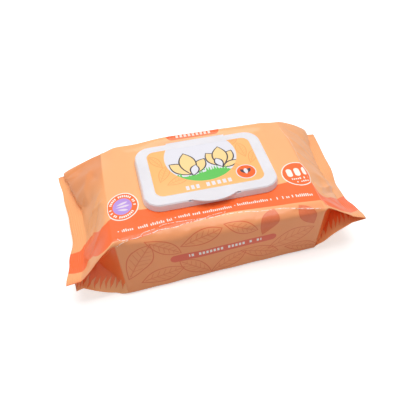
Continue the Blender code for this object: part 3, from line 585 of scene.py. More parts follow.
class Film:
    """Places the points of the film, as the solid of the pack does, more finely and creased."""

    def __init__(self, settings):
        self.leaf = settings.leaf_thickness
        self.fin = settings.fin_thickness
        self.ripple = settings.ripple_height
        self.crease = settings.crease_height

    def unrest(self, end, reach, y):
        """Rise of the film of an end by its waves and creases."""
        start = smooth(reach / (4 * MM))
        spot = Vector((end * (40 + reach / MM), y / MM, 3.0))
        wave = noise.noise(spot / BROAD_WAVE) + FINE_SHARE * noise.noise(spot / FINE_WAVE)
        ridge = creased(END_CREASES[end], reach / MM, y / MM) * self.crease
        return start * (wave * self.ripple + ridge)

    def seal_point(self, end, eta, y, along, layer, thick):
        form = END_FORMS[end]
        tilt = radians(across(form["tilt"], eta))
        parting = fold(end, "part", eta) * split(eta) * (1 - form["shut"] * along / FIN_WIDTH)
        slip = fold(end, "slip", eta) * split(eta) * along / FIN_WIDTH if layer < 0 else 0
        x = HALF_BRICK + FLAP_REACH - fold(end, "inset", eta) - slip + along * cos(tilt)
        z = FIN_HEIGHT + fold(end, "raise", eta) + along * sin(tilt)
        z += self.unrest(end, FLAP_LENGTH + along, y) * SEAL_UNREST
        return x, z + layer * (parting + thick * self.fin / 2)

    def top_point(self, end, eta, y, reach, thick):
        sag = fold(end, "sag", eta)
        if reach <= 0:
            x = HALF_BRICK + reach
            z = BRICK_HEIGHT - LID_SEAT_DEPTH * lid_seat(end * x, y)
            z += across(BACK_CROWN, end * x / MM) * MM * smooth((y - CROWN_START) / CROWN_LENGTH)
            return x, z - sag * smooth(1 + reach / SAG_LENGTH)
        if reach >= FLAP_LENGTH:
            return self.seal_point(end, eta, y, reach - FLAP_LENGTH, 1, thick)
        seal = self.seal_point(end, eta, y, 0, 1, thick)
        start = (HALF_BRICK, BRICK_HEIGHT - sag)
        level = (HALF_BRICK + fold(end, "lead", eta), BRICK_HEIGHT - sag * 2)
        bend = (seal[0] + fold(end, "over", eta), seal[1] + fold(end, "rise", eta))
        share = reach / FLAP_LENGTH
        x, z = bezier((start, level, bend, seal), share)
        lift = self.unrest(end, reach, y) * smooth((1 - share) * 6)
        return x + lift * share, z + lift - dent(FLAP_DENTS, end * x, y)

    def bottom_point(self, end, eta, y, reach, thick):
        if reach <= 0:
            off_groove = abs(abs(y) - BACK_SEAM_WIDTH / 2) / BACK_SEAM_GROOVE
            return HALF_BRICK + reach, BACK_SEAM_DEPTH * max(1 - off_groove, 0)
        if reach >= FLAP_LENGTH:
            return self.seal_point(end, eta, y, reach - FLAP_LENGTH, -1, thick)
        seal = self.seal_point(end, eta, y, 0, -1, thick)
        belly = across(END_FORMS[end]["belly"], eta) / 3
        points = [(mix(HALF_BRICK, seal[0], share), seal[1] * (share - sink * belly))
                  for share, sink in ((0, 0), (1 / 3, 1), (2 / 3, 0.2), (1, 0))]
        x, z = bezier(points, reach / FLAP_LENGTH)
        return x, max(z, 0.0)

    def gusset_fold(self, end, side, reach, half_width, upper):
        """X, depth inwards and Z of one fold of the tucked-in side."""
        share = reach / FLAP_LENGTH
        y = side * (half_width - HALF_HEIGHT * min(share, 1))
        seal = self.seal_point(end, side * valley_eta(), y, max(reach - FLAP_LENGTH, 0), 0, 0)
        if share >= 1:
            return seal[0], HALF_HEIGHT, seal[1]
        sag = fold(end, "sag", side)
        corner_z = BRICK_HEIGHT - sag - END_EDGE_RADIUS if upper else BOTTOM_EDGE_RADIUS
        z = mix(corner_z, seal[1], min(share / FOLD_MEETS, 1))
        return mix(HALF_BRICK, seal[0], share), HALF_HEIGHT * share, z

    def top_round(self, side, reach, thick):
        fade = smooth(reach / (FLAP_LENGTH / 4))
        roll = cos(pi / 2 * min(1 + reach / HALF_BRICK, 1)) ** 0.8 if reach < 0 else 0
        wide, drop = (FRONT_ROLL_REACH, FRONT_ROLL_DROP) if side < 0 else (BACK_ROLL, BACK_ROLL)
        wide, drop = mix(END_EDGE_RADIUS, wide, roll), mix(END_EDGE_RADIUS, drop, roll)
        return mix(wide, LEAF_EDGE * thick, fade), mix(drop, self.leaf * thick, fade)

    def bottom_round(self, reach, thick):
        fade = smooth(reach / (FLAP_LENGTH / 4))
        return (mix(BOTTOM_EDGE_RADIUS, LEAF_EDGE * thick, fade),
                mix(BOTTOM_EDGE_RADIUS, self.leaf * thick, fade))

    def wall_shift(self, end, side, reach, z):
        """How far the side wall stands outwards at height z."""
        level = z / BRICK_HEIGHT
        fade = 1 - smooth(reach / (FLAP_LENGTH / 3))
        middle = cos(pi / 2 * min(1 + reach / HALF_BRICK, 1))
        shift = SIDE_BULGE * sin(pi * level) * middle
        if side < 0:
            along = end * (HALF_BRICK + min(reach, 0)) / MM
            stand = mix(across(FRONT_FOOT, along), across(FRONT_HEAD, along), level)
            shift += stand * MM * fade
            shift -= dent(FRONT_DENTS, end * (HALF_BRICK + reach), z) * fade
        return shift

    def half_width_at(self, end, side, reach):
        spread = FIN_SPREAD / 2 - fold(end, "narrow", side)
        return mix(BRICK_WIDTH / 2, spread, smooth(reach / FLAP_LENGTH))

    def etas(self):
        """Positions across the width, in both directions from its middle."""
        seam = BACK_SEAM_WIDTH / FIN_SPREAD
        groove = 2 * BACK_SEAM_GROOVE / FIN_SPREAD
        half = [(seam - groove) * step / 6 for step in range(1, 7)] + [seam, seam + groove]
        half += [mix(seam + groove, valley_eta(), step / MIDDLE_COLUMNS)
                 for step in range(1, MIDDLE_COLUMNS + 1)]
        half += [mix(valley_eta(), 1, step / LEAF_COLUMNS) for step in range(1, LEAF_COLUMNS + 1)]
        return [-eta for eta in reversed(half)] + [0.0] + half

    def leaf_line(self, half_width, wide, drop, fold, surface, layer):
        """Inner skin of a leaf, from its outer edge to the fold."""
        line = []
        fold_y = half_width - fold[1]
        fold_x, fold_z = surface(fold_y)
        for step in range(1, LEAF_COLUMNS + 1):
            share = step / LEAF_COLUMNS
            y = mix(half_width - wide, fold_y, share)
            x, z = surface(y)
            under = mix(drop, layer * (fold_z - fold[2]), share)
            line.append((x + share * (fold[0] - fold_x), y, z - layer * under))
        return line

    def side_line(self, end, side, reach, thick):
        """Points down one side: top edge, upper leaf, tucked wall, lower leaf and bottom edge."""
        half_width = self.half_width_at(end, side, reach)
        wide, drop = self.top_round(side, reach, thick)
        low_wide, rise = self.bottom_round(reach, thick)
        inner = smooth(reach / (FLAP_LENGTH / 2))

        def top_at(y):
            eta = min(y / (half_width - wide), 1)
            return self.top_point(end, side * eta, side * y, reach, thick)

        def bottom_at(y):
            eta = min(y / (half_width - low_wide), 1)
            return self.bottom_point(end, side * eta, side * y, reach, thick)

        x, z = top_at(half_width)
        low_x, low_z = bottom_at(half_width)
        upper = (x, 0, z - drop)
        lower = (low_x, 0, low_z + rise)
        if reach > 0:
            upper = self.gusset_fold(end, side, reach, half_width, True)
            lower = self.gusset_fold(end, side, reach, half_width, False)
        if reach >= FLAP_LENGTH:
            depth = half_width - valley_eta() * (half_width - wide)
            upper = lower = (upper[0], depth, upper[2])
        line = []
        for step in range(1, ARC_COLUMNS + 1):
            turn = pi / 2 * step / ARC_COLUMNS
            line.append((x, half_width - wide * (1 - sin(turn)), z - drop * (1 - cos(turn))))
        line += self.leaf_line(half_width, wide * inner, drop, upper, top_at, 1)
        for step in range(1, WALL_COLUMNS):
            share = step / WALL_COLUMNS
            line.append((mix(upper[0], lower[0], share), half_width - mix(upper[1], lower[1], share),
                         mix(upper[2], lower[2], share)))
        line += reversed(self.leaf_line(half_width, low_wide * inner, rise, lower, bottom_at, -1))
        for step in range(ARC_COLUMNS):
            turn = pi / 2 * step / ARC_COLUMNS
            line.append((low_x, half_width - low_wide * (1 - cos(turn)), low_z + rise * (1 - sin(turn))))
        return [(px, side * (py + self.wall_shift(end, side, reach, pz)), pz) for px, py, pz in line]

    def ring(self, end, reach, thick):
        """Points round the film and, for each, its distance round the flat girth."""
        top, bottom = [], []
        for eta in self.etas():
            side = -1 if eta < 0 else 1
            room = self.half_width_at(end, side, reach) - self.top_round(side, reach, thick)[0]
            y = eta * (room + self.wall_shift(end, side, reach, BRICK_HEIGHT))
            x, z = self.top_point(end, eta, eta * room, reach, thick)
            top.append(((x, y, z), eta * room))
            room = self.half_width_at(end, side, reach) - self.bottom_round(reach, thick)[0]
            y = eta * (room + self.wall_shift(end, side, reach, 0))
            x, z = self.bottom_point(end, eta, eta * room, reach, thick)
            bottom.append(((x, y, z), side * HALF_GIRTH - eta * room))
        sides = {}
        for side, first, last in ((1, top[-1], bottom[-1]), (-1, top[0], bottom[0])):
            line = self.side_line(end, side, reach, thick)
            steps = [(Vector(b) - Vector(a)).length for a, b in
                     zip([first[0]] + line, line + [last[0]])]
            whole = sum(steps)
            gone = 0.0
            placed = []
            for point, step in zip(line, steps):
                gone += step
                placed.append((point, mix(first[1], last[1], gone / whole)))
            sides[side] = placed
        ring = top + sides[1] + bottom[::-1] + sides[-1][::-1]
        near = smooth(1 + reach / HALF_BRICK) * (1 - smooth(reach / FLAP_LENGTH))
        lean = END_FORMS[end]["lean"] * near
        return [((end * (x - lean * (0.5 - z / BRICK_HEIGHT)), y, z), girth) for (x, y, z), girth in ring]

    def stations(self):
        """End, distance past the vertical fold and share of the thickness, from left to right."""
        past = []
        for step in range(1, FLAP_ROWS + 1):
            past.append((FLAP_LENGTH * (step / FLAP_ROWS) ** 1.25, 1.0))
        for step in range(1, FIN_ROWS + 1):
            past.append((FLAP_LENGTH + (FIN_WIDTH - FIN_EDGE) * step / FIN_ROWS, 1.0))
        past.append((FLAP_LENGTH + FIN_WIDTH, 0.0))
        found = [(-1, reach, thick) for reach, thick in reversed(past)]
        for step in range(BRICK_ROWS + 1):
            share = 2 * step / BRICK_ROWS - 1
            x = HALF_BRICK * sin(pi / 2 * share) * 0.35 + HALF_BRICK * share * 0.65
            found.append((-1 if x < 0 else 1, abs(x) - HALF_BRICK, 1.0))
        return found + [(1, reach, thick) for reach, thick in past]


def film_mesh(settings):
    """The film as a grid that is wrapped round the wipes, with its flat place kept as a UV map."""
    film = Film(settings)
    stations = film.stations()
    rings = [film.ring(*station) for station in stations]
    around = len(rings[0])
    bm = bmesh.new()
    flat = bm.loops.layers.uv.new("flat_film")
    bmesh.ops.create_grid(bm, x_segments=len(rings) - 1, y_segments=around, size=0.5)
    bm.faces.ensure_lookup_table()
    place = {vert: (round((vert.co.x + 0.5) * (len(rings) - 1)), round((vert.co.y + 0.5) * around))
             for vert in bm.verts}
    for face in bm.faces:
        for loop in face.loops:
            row, column = place[loop.vert]
            end, reach, _ = stations[row]
            girth = rings[row][column % around][1]
            along = end * (HALF_BRICK + reach)
            loop[flat].uv = (along / (UV_SCALE * MM), girth / (UV_SCALE * MM))
    for vert, (row, column) in place.items():
        vert.co = rings[row][column % around][0]
    return bm, place, stations, rings


def press_creases(bm, settings, place, stations, rings):
    """Raises the creases of the brick along its own normals."""
    bm.normal_update()
    around = len(rings[0])
    for vert, (row, column) in place.items():
        if not vert.is_valid:
            continue
        end, reach, _ = stations[row]
        if reach > 0:
            continue
        girth = rings[row][column % around][1] / MM
        along = end * (HALF_BRICK + reach) / MM
        under_lid = lid_seat(vert.co.x, vert.co.y) if vert.co.z > HALF_HEIGHT else 0
        spot = Vector((along, girth, 9.0))
        broken = 0.6 + 0.8 * noise.noise(spot / 5)
        height = creased(BRICK_CREASES, along, girth) + front_folds(along, girth)
        height *= broken * settings.crease_height
        height += SIDE_WAVE * noise.noise(spot / 21) * smooth((abs(girth) - 40) / 20)
        fade = smooth(-reach / (3 * MM)) * (1 - under_lid)
        fade *= 1 - smooth((abs(girth) - 98) / 8)
        vert.co += vert.normal * height * fade


def weld_film(bm):
    bmesh.ops.remove_doubles(bm, verts=bm.verts, dist=WELD_REACH)
    bmesh.ops.dissolve_degenerate(bm, edges=bm.edges, dist=WELD_REACH)
    bmesh.ops.recalc_face_normals(bm, faces=bm.faces)


def add_piece(bm, name, finish, body, sharp=35, ride=True):
    """Makes an object of a mesh, in place, and lets it ride on a body."""
    mesh = bpy.data.meshes.new(name)
    bm.to_mesh(mesh)
    bm.free()
    mesh.materials.append(finish)
    mesh.shade_smooth()
    mesh.set_sharp_from_angle(angle=radians(sharp))
    piece = bpy.data.objects.new(name, mesh)
    bpy.context.scene.collection.objects.link(piece)
    if ride:
        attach(piece, body)
    return piece


class Value:
    """Output of a node. Reckoning with it lays further nodes on its board."""

    def __init__(self, board, socket):
        self.board = board
        self.socket = socket

    def by(self, operation, *others):
        """Any operation, by the name that the math node gives it."""
        return self.board.math(operation, self, *others)

    def __add__(self, other):
        return self.by("ADD", other)

    def __sub__(self, other):
        return self.by("SUBTRACT", other)

    def __rsub__(self, other):
        return self.board.math("SUBTRACT", other, self)

    def __mul__(self, other):
        return self.by("MULTIPLY", other)

    def __truediv__(self, other):
        return self.by("DIVIDE", other)

    def __pow__(self, other):
        return self.by("POWER", other)

    def __lt__(self, other):
        return self.by("LESS_THAN", other)

    def __gt__(self, other):
        return self.by("GREATER_THAN", other)

    def __abs__(self):
        return self.by("ABSOLUTE")


class Board:
    """Lays nodes in a tree, and links each to the values that feed it."""

    def __init__(self, tree):
        self.tree = tree

    def node(self, kind, **settings):
        made = self.tree.nodes.new(kind)
        count = len(self.tree.nodes)
        made.location = (200 * (count % 12), -260 * (count // 12))
        for name, value in settings.items():
            setattr(made, name, value)
        return made

    def feed(self, value, socket):
        if isinstance(value, Value):
            self.tree.links.new(value.socket, socket)
        elif value is not None:
            socket.default_value = value

    def fed(self, kind, inputs, output=0, **settings):
        """Lays a node, feeds its inputs by name or number, and gives one output."""
        made = self.node(kind, **settings)
        for socket, value in inputs.items():
            self.feed(value, made.inputs[socket])
        return Value(self, made.outputs[output])

    def outputs(self, kind, **settings):
        """Lays a node and gives its outputs by name."""
        return {out.name: Value(self, out) for out in self.node(kind, **settings).outputs}

    def math(self, operation, *values):
        return self.fed("ShaderNodeMath", dict(enumerate(values)), operation=operation)

    def vector(self, operation, first, second=None):
        last = "Scale" if operation == "SCALE" else 1
        output = "Value" if operation == "LENGTH" else 0
        return self.fed("ShaderNodeVectorMath", {0: first, last: second}, output, operation=operation)

    def parts(self, value):
        made = self.node("ShaderNodeSeparateXYZ")
        self.feed(value, made.inputs[0])
        return [Value(self, out) for out in made.outputs]

    def paint(self, below, colour, mask):
        """Lays a colour over what is below it, where the mask is 1."""
        return self.fed("ShaderNodeMix", {0: mask, 6: below, 7: colour}, 2, data_type="RGBA")

    def spread(self, value, low, high, first=0.0, last=1.0):
        """Goes softly from first to last while the value goes from low to high."""
        return self.fed("ShaderNodeMapRange", {"Value": value, "From Min": low, "From Max": high,
                                               "To Min": first, "To Max": last},
                        interpolation_type="SMOOTHSTEP")

    def cloud(self, position, scale, detail=2.0, distortion=0.0):
        return self.fed("ShaderNodeTexNoise", {"Vector": position, "Scale": scale, "Detail": detail,
                                               "Distortion": distortion}, "Fac")

    def chance(self, index):
        return self.fed("ShaderNodeTexWhiteNoise", {"W": index}, "Value", noise_dimensions="1D")

    def curve(self, value, knots):
        """Height of a smooth line through knots, all in millimetres."""
        share = value.by("MULTIPLY_ADD", 0.5 / PRINT_SPAN, 0.5)
        low = min(knot[1] for knot in knots)
        high = max(knot[1] for knot in knots)
        made = self.node("ShaderNodeFloatCurve")
        line = made.mapping.curves[0]
        placed = [((a + PRINT_SPAN) / (2 * PRINT_SPAN), (b - low) / (high - low)) for a, b in knots]
        line.points[0].location = placed[0]
        line.points[1].location = placed[-1]
        for spot in placed[1:-1]:
            line.points.new(*spot)
        for point in line.points:
            point.handle_type = "AUTO_CLAMPED"
        made.mapping.update()
        self.feed(share, made.inputs["Value"])
        return Value(self, made.outputs[0]).by("MULTIPLY_ADD", high - low, low)

    def place(self, name, **values):
        """Places a node group by name, feeds it, and gives its outputs by name."""
        made = self.node("ShaderNodeGroup", node_tree=bpy.data.node_groups[name])
        for socket, value in values.items():
            if socket == "middle":
                value = (*value, 0.0)
            self.feed(value, made.inputs[socket.replace("_", " ").capitalize()])
        return {out.name: Value(self, out) for out in made.outputs}


def opaque(colour):
    return (*colour, 1.0)


def new_group(name, inputs, outputs):
    """An empty node group, and a board to lay its nodes on. Inputs without a number are vectors."""
    tree = bpy.data.node_groups.new(name, "ShaderNodeTree")
    for socket, number in inputs.items():
        kind = "NodeSocketVector" if number is None else "NodeSocketFloat"
        made = tree.interface.new_socket(socket, in_out="INPUT", socket_type=kind)
        if number is not None:
            made.default_value = number
    for socket in outputs:
        tree.interface.new_socket(socket, in_out="OUTPUT", socket_type="NodeSocketFloat")
    board = Board(tree)
    return board, board.outputs("NodeGroupInput"), board.node("NodeGroupOutput").inputs


def turned_place(board, given):
    """A position about a middle, in the axes of a turned shape."""
    offset = board.parts(board.vector("SUBTRACT", given["Position"], given["Middle"]))
    level = given["Turn"].by("COSINE")
    steep = given["Turn"].by("SINE")
    ahead = offset[1].by("MULTIPLY_ADD", steep, offset[0] * level)
    aside = offset[0] * steep
    return ahead, offset[1] * level - aside


def inked(distance):
    """1 where a distance from an edge is inside, with a barely soft edge."""
    share = distance.by("MULTIPLY_ADD", -1 / EDGE_SOFTNESS, 0.5)
    return share.by("MAXIMUM", 0.0).by("MINIMUM", 1.0)


def make_bar_group():
    """Rounded bar, or a disc where its half length is 0."""
    board, given, made = new_group(
        "Rounded bar", SHAPE_PLACE | {"Half length": 0.0, "Radius": 1.0}, ("Mask",))
    ahead, aside = turned_place(board, given)
    past = (abs(ahead) - given["Half length"]).by("MAXIMUM", 0.0)
    away = (past ** 2 + aside ** 2).by("SQRT")
    board.feed(inked(away - given["Radius"]), made["Mask"])


def make_leaf_group():
    """Drawn leaf or petal: outline, fill and veins. Lean makes one end broader, as in a drop."""
    board, given, made = new_group(
        "Drawn leaf", SHAPE_PLACE | {"Length": 30.0, "Width": 12.0, "Lean": 0.0, "Line": 0.7},
        ("Outline", "Fill", "Veins"))
    ahead, aside = turned_place(board, given)
    share = ahead / (given["Length"] * 0.5)
    inside = abs(share) < LEAF_TIP
    held = share.by("MINIMUM", 1.0).by("MAXIMUM", -1.0)
    round_off = 1 - held ** 2
    lean = held.by("MULTIPLY_ADD", given["Lean"], 1.0)
    half = round_off * lean * (given["Width"] * 0.5)
    off_axis = abs(aside)
    distance = off_axis - half
    fill = inked(distance) * inside
    thin = given["Line"] * 0.5
    outline = inked(abs(distance) - thin) * inside
    rib = inked(off_axis - thin)
    slant = off_axis.by("MULTIPLY_ADD", -VEIN_SLANT, ahead)
    pitch = given["Length"] * VEIN_PITCH
    wave = slant.by("PINGPONG", pitch * 0.5)
    side_vein = inked(wave - thin * VEIN_WIDTH)
    inner = inked(distance + given["Line"] * VEIN_MARGIN)
    veins = rib.by("MAXIMUM", side_vein) * inner
    board.feed(outline, made["Outline"])
    board.feed(fill, made["Fill"])
    board.feed(veins * inside, made["Veins"])


def make_small_print_group():
    """Row of short upright dashes in groups, which stands for a line of small print."""
    board, given, made = new_group(
        "Small print", SHAPE_PLACE | {"Half length": 20.0, "Height": 2.4, "Pitch": 1.9, "Blank": 0.14,
                                      "Small": 0.62, "Seed": 0.0}, ("Mask",))
    ahead, aside = turned_place(board, given)
    inside = abs(ahead) < given["Half length"]
    cell = ahead / given["Pitch"] + 0.5
    chance = board.chance(cell.by("FLOOR") + given["Seed"])
    tall = chance > given["Small"]
    blank = chance < given["Blank"]
    reach = tall.by("MULTIPLY_ADD", 1 - SMALL_LETTER, SMALL_LETTER)
    half = given["Height"] * 0.5 * reach
    shift = (reach - 1) * (given["Height"] * -0.5)
    upright = inked(abs(aside + shift) - half)
    off_middle = abs(cell.by("FRACT") - 0.5)
    letter = inked((off_middle - LETTER_HALF) * given["Pitch"]) * upright
    seen = inside * (1 - blank)
    board.feed(letter * seen, made["Mask"])


def make_grain_group():
    """Fine unevenness of a moulded or laminated surface, as a height and a roughness."""
    board, given, made = new_group(
        "Surface grain", {"Position": None, "Fine scale": 1800.0, "Broad scale": 60.0,
                          "Base roughness": 0.35, "Unevenness": 0.08}, ("Height", "Roughness"))
    fine = board.cloud(given["Position"], given["Fine scale"], 3.0)
    broad = board.cloud(given["Position"], given["Broad scale"])
    board.feed(broad.by("MULTIPLY_ADD", 2.0, fine), made["Height"])
    uneven = (broad - 0.5) * given["Unevenness"]
    board.feed(given["Base roughness"] + uneven, made["Roughness"])


def new_material(name):
    """A material with a Principled shader, and a board to lay its nodes on."""
    made = bpy.data.materials.new(name)
    made.use_nodes = True
    return made, Board(made.node_tree), made.node_tree.nodes["Principled BSDF"]


def object_place(board):
    return board.outputs("ShaderNodeTexCoord")["Object"]


def tune(shader, values):
    for name, value in values.items():
        shader.inputs[name].default_value = value


def add_grain(board, shader, body, fine, broad, base, uneven):
    """Feeds the roughness of a grain to a shader, and gives the grain's height."""
    grain = board.place("Surface grain", position=body, fine_scale=fine, broad_scale=broad,
                        base_roughness=base, unevenness=uneven)
    board.feed(grain["Roughness"], shader.inputs["Roughness"])
    return grain["Height"]


def bump(board, shader, height, distance, strength):
    inputs = {"Strength": strength, "Distance": distance, "Height": height}
    board.feed(board.fed("ShaderNodeBump", inputs, "Normal"), shader.inputs["Normal"])


class Sheet:
    """A printed sheet: its colour so far, and what inks print over it."""

    def __init__(self, board, flat, settings, ground):
        self.board = board
        self.flat = flat
        self.settings = settings
        self.colour = self.ink(ground)

    def ink(self, name):
        return opaque(getattr(self.settings, name))

    def lay(self, name, mask):
        self.colour = self.board.paint(self.colour, self.ink(name), mask)

    def bar(self, name, middle, radius, **more):
        """Prints a rounded bar, or a disc."""
        bar = self.board.place("Rounded bar", position=self.flat, middle=middle, radius=radius, **more)
        self.lay(name, bar["Mask"])

    def row(self, name, middle, half_length, height, pitch, share=1.0, **more):
        """Prints a row of small print, with a share of the ink."""
        row = self.board.place("Small print", position=self.flat, middle=middle, half_length=half_length,
                               height=height, pitch=pitch, **more)
        self.lay(name, row["Mask"] * share if share < 1 else row["Mask"])

    def leaf(self, middle, turn, length, width, lean, line):
        """Masks of a drawn leaf."""
        return self.board.place("Drawn leaf", position=self.flat, middle=middle, turn=radians(turn),
                                length=length, width=width, lean=lean, line=line)

    def leaves(self, name, leaves, line):
        """Draws leaves in one ink, some with a share of fill."""
        for middle, turn, length, width, filled in leaves:
            leaf = self.leaf(middle, turn, length, width, LEAF_LEAN, line)
            if filled:
                self.lay(name, leaf["Fill"] * filled)
            self.lay(name, leaf["Outline"].by("MAXIMUM", leaf["Veins"] * VEIN_STRENGTH))


def film_material(settings):
    """Printed laminate: pale ground, bright band, badges, drawn leaves and crimped seals, with painted shade,
    light and highlights.
    """
    made, board, shader = new_material("printed_laminate_film")
    uv = board.outputs("ShaderNodeUVMap", uv_map="flat_film")["UV"]
    flat = board.vector("SCALE", uv, UV_SCALE)
    along, girth = board.parts(flat)[:2]
    body = object_place(board)
    sheet = Sheet(board, flat, settings, "ground")
    draw_fields(sheet, along, girth)
    band_top = board.curve(along, BAND_TOP)
    band_low = board.curve(along, BAND_LOW)
    sheet.lay("band", inked(girth - band_top) * inked(band_low - girth))

    for middle, turn, half, seed in PRINT_ROWS:
        sheet.row("mark", middle, half, height=2.9, pitch=1.55, share=0.9, turn=radians(turn), seed=seed)
    for middle in PRINT_DOTS:
        sheet.bar("mark", middle, PRINT_DOT_RADIUS)
    sheet.bar("pill", FRONT_PILL, radius=3.9, half_length=38.5, turn=FRONT_PILL_TURN)
    sheet.row("mark", (FRONT_PILL[0] + 1.2, FRONT_PILL[1] + 0.5), half_length=29.0, height=3.0, pitch=2.9,
              turn=FRONT_PILL_TURN, blank=0.12, small=ALL_TALL, seed=12.0)
    sheet.bar("band", BACK_PILL, radius=4.6, half_length=19.0)
    sheet.row("mark", (BACK_PILL[0], BACK_PILL[1] - 1.4), half_length=16.2, height=3.4, pitch=3.6,
              share=0.75, blank=NO_BLANK, small=ALL_TALL, seed=22.0)
    draw_left_badge(sheet)
    draw_right_badge(sheet)
    # Painted highlights along the folds
    draw_fold_highlights(sheet, along, girth)

    hue = board.cloud(body, 14.0)
    colour = board.vector("SCALE", sheet.colour, board.spread(hue, 0.3, 0.7, 0.97, 1.03))
    board.feed(colour, shader.inputs["Base Color"])
    grain = add_grain(board, shader, body, fine=900.0, broad=70.0, base=0.34, uneven=0.10)
    tune(shader, {"Specular IOR Level": 0.35, "Coat Weight": 0.25, "Coat Roughness": 0.16})

    on_seal = board.spread(abs(along), SEAL_START - 0.6, SEAL_START + 0.4)
    ribs = (along * (2 * pi * MM / settings.crimp_pitch)).by("SINE")
    crimp = ribs * on_seal * 0.5
    crinkle = board.cloud(body, 160.0, 3.0, 1.2)
    small = (crinkle - 0.5) * 0.35
    bump(board, shader, crimp + small + grain * 0.02, distance=0.25 * MM, strength=0.6)
    return made


def draw_fields(sheet, along, girth):
    """Fields of colour of the film: top, sides and ends, the tucked-in sides and the drawn leaves, with
    painted shade on the sides and ends and painted light on the lower leaves.
    """
    board = sheet.board
    depth = abs(girth)
    # The front field begins just below the front fold, so the painted shade also darkens the strip under the
    # rolled edge
    front_edge = board.spread(girth, *FRONT_FIELD) * board.spread(abs(along), *BRICK_FIELD)
    side = front_edge.by("MAXIMUM", board.spread(depth, *SIDE_FIELD))
    under = board.spread(depth, *UNDER_FIELD)
    on_side = side * (1 - under)
    # Painted shade on the ends, which starts sharply at the vertical folds so that the fold reads darker
    sheet.lay("end_painted_shade", board.spread(abs(along), *END_FIELD))
    # Painted shade at the back of the left end, stopping short of its seal
    shaded = board.spread(along, *SHADE_INNER) * board.spread(along, *SHADE_OUTER)
    sheet.lay("left_end_painted_shade", shaded * board.spread(girth, *SHADE_BACK))
    # Painted shade over the front, back and gussets
    sheet.lay("side_painted_shade", side)
    past_end = board.spread(abs(along), *PAST_END)
    # Painted light: the paler ground on the lower leaves of the ends lifts them out of their shade
    sheet.lay("ground", board.spread(depth, *LOW_LEAF_PAINTED_LIGHT) * past_end)
    jag = jagged_edge(board, sheet.flat, along, depth)
    tucked = board.spread(depth, *TUCKED_FIELD) * inked(depth - jag) * past_end
    # Deep orange of the tucked-in sides: print, with painted light through the film
    sheet.lay("gusset_print_and_painted_light", tucked * PRINT_STRENGTH)
    ground = sheet.colour
    sheet.leaves("line", FRONT_LEAVES, FILM_LINE)
    sheet.leaves("line", BACK_LEAVES, FILM_LINE)
    sheet.lay("line", inked(abs(depth - jag) - BLADE_LINE) * past_end)
    sheet.colour = board.paint(ground, sheet.colour, on_side * PRINT_STRENGTH)


def jagged_edge(board, flat, along, depth):
    """Distance round the girth of the spiky lower edge of the deep orange in a tucked-in side."""
    bent = depth.by("MULTIPLY_ADD", BLADE_SLANT, along)
    bent = board.cloud(flat, 0.09, 1.0).by("MULTIPLY_ADD", BLADE_WANDER, bent)
    blade = bent.by("PINGPONG", BLADE_PITCH / 2)
    return blade.by("MULTIPLY_ADD", -2 * BLADE_HEIGHT / BLADE_PITCH, BLADE_FOOT)


def draw_fold_highlights(sheet, along, girth):
    """Painted highlights along the folds: white lines, broken at random on the front, and a fainter pale line
    down the fold of the right end.
    """
    board = sheet.board
    highlight_breaks = board.spread(board.cloud(sheet.flat, 0.55, 3.0), 0.40, 0.52)
    width = board.cloud(sheet.flat, 0.2, 1.0)
    for knots, first, last in FOLD_HIGHLIGHTS:
        white = inked(abs(girth - board.curve(along, knots)) - width * 0.55)
        here = (along > first) * (along < last)
        sheet.lay("mark", white * highlight_breaks * here * 0.8)
    # A fainter painted highlight down the fold of the right end
    white = inked(abs(along - board.curve(girth, RIGHT_FOLD)) - width * 0.7)
    here = (girth > RIGHT_FOLD_SPAN[0]) * (girth < RIGHT_FOLD_SPAN[1])
    sheet.lay("mark", white * here * 0.35)


def draw_left_badge(sheet):
    """Round badge: white rim, ring of small marks, lilac middle with a pale sprig."""
    board, flat = sheet.board, sheet.flat
    spot = board.vector("SUBTRACT", flat, (*LEFT_BADGE, 0.0))
    lean = board.vector("SCALE", (LEFT_BADGE_LEAN, 0.0, 0.0), board.parts(spot)[1])
    spot = board.vector("SUBTRACT", spot, lean)
    spot = board.vector("MULTIPLY", spot, LEFT_BADGE_SQUEEZE)
    sheet.flat = spot
    for radius, name in ((BADGE_RADIUS, "mark"), (BADGE_RADIUS - BADGE_RIM, "band"), (LILAC_RADIUS, "lilac")):
        sheet.bar(name, (0.0, 0.0), radius)
    turn = board.parts(spot)[1].by("ARCTAN2", board.parts(spot)[0])
    away = board.vector("LENGTH", spot)
    cell = turn * (RING_MARKS / (2 * pi))
    shown = board.chance(cell.by("FLOOR")) > 0.2
    stroke = abs(cell.by("FRACT") - 0.5) < 0.32
    ring = inked(abs(away - RING_RADIUS) - 1)
    sheet.lay("mark", ring * stroke * shown)
    for shift, turned, length in (((-0.6, 2.6), 18, 10), ((0.2, -0.2), 8, 12), ((0.4, -3.4), -6, 9)):
        leaf = sheet.leaf(shift, turned, length, width=1.9, lean=0.5, line=0.3)
        sheet.lay("mark", leaf["Fill"] * 0.6)
    sheet.flat = flat


def draw_right_badge(sheet):
    """Round badge: white rim, bright disc with three bold blocks and two rows of small print."""
    x, y = RIGHT_BADGE
    sheet.bar("mark", RIGHT_BADGE, BADGE_RADIUS)
    sheet.bar("band", RIGHT_BADGE, BADGE_RADIUS - BADGE_RIM)
    for shift in (-6.6, 0.0, 6.6):
        sheet.bar("mark", (x + shift, y + 2.0), radius=2.3, half_length=2.2, turn=radians(88.0))
    for drop, half, tall in ((-5.2, 7.0, 2.0), (-8.7, 6.0, 1.6)):
        sheet.row("mark", (x, y + drop), half, height=tall, pitch=1.7, seed=7.0 + drop)


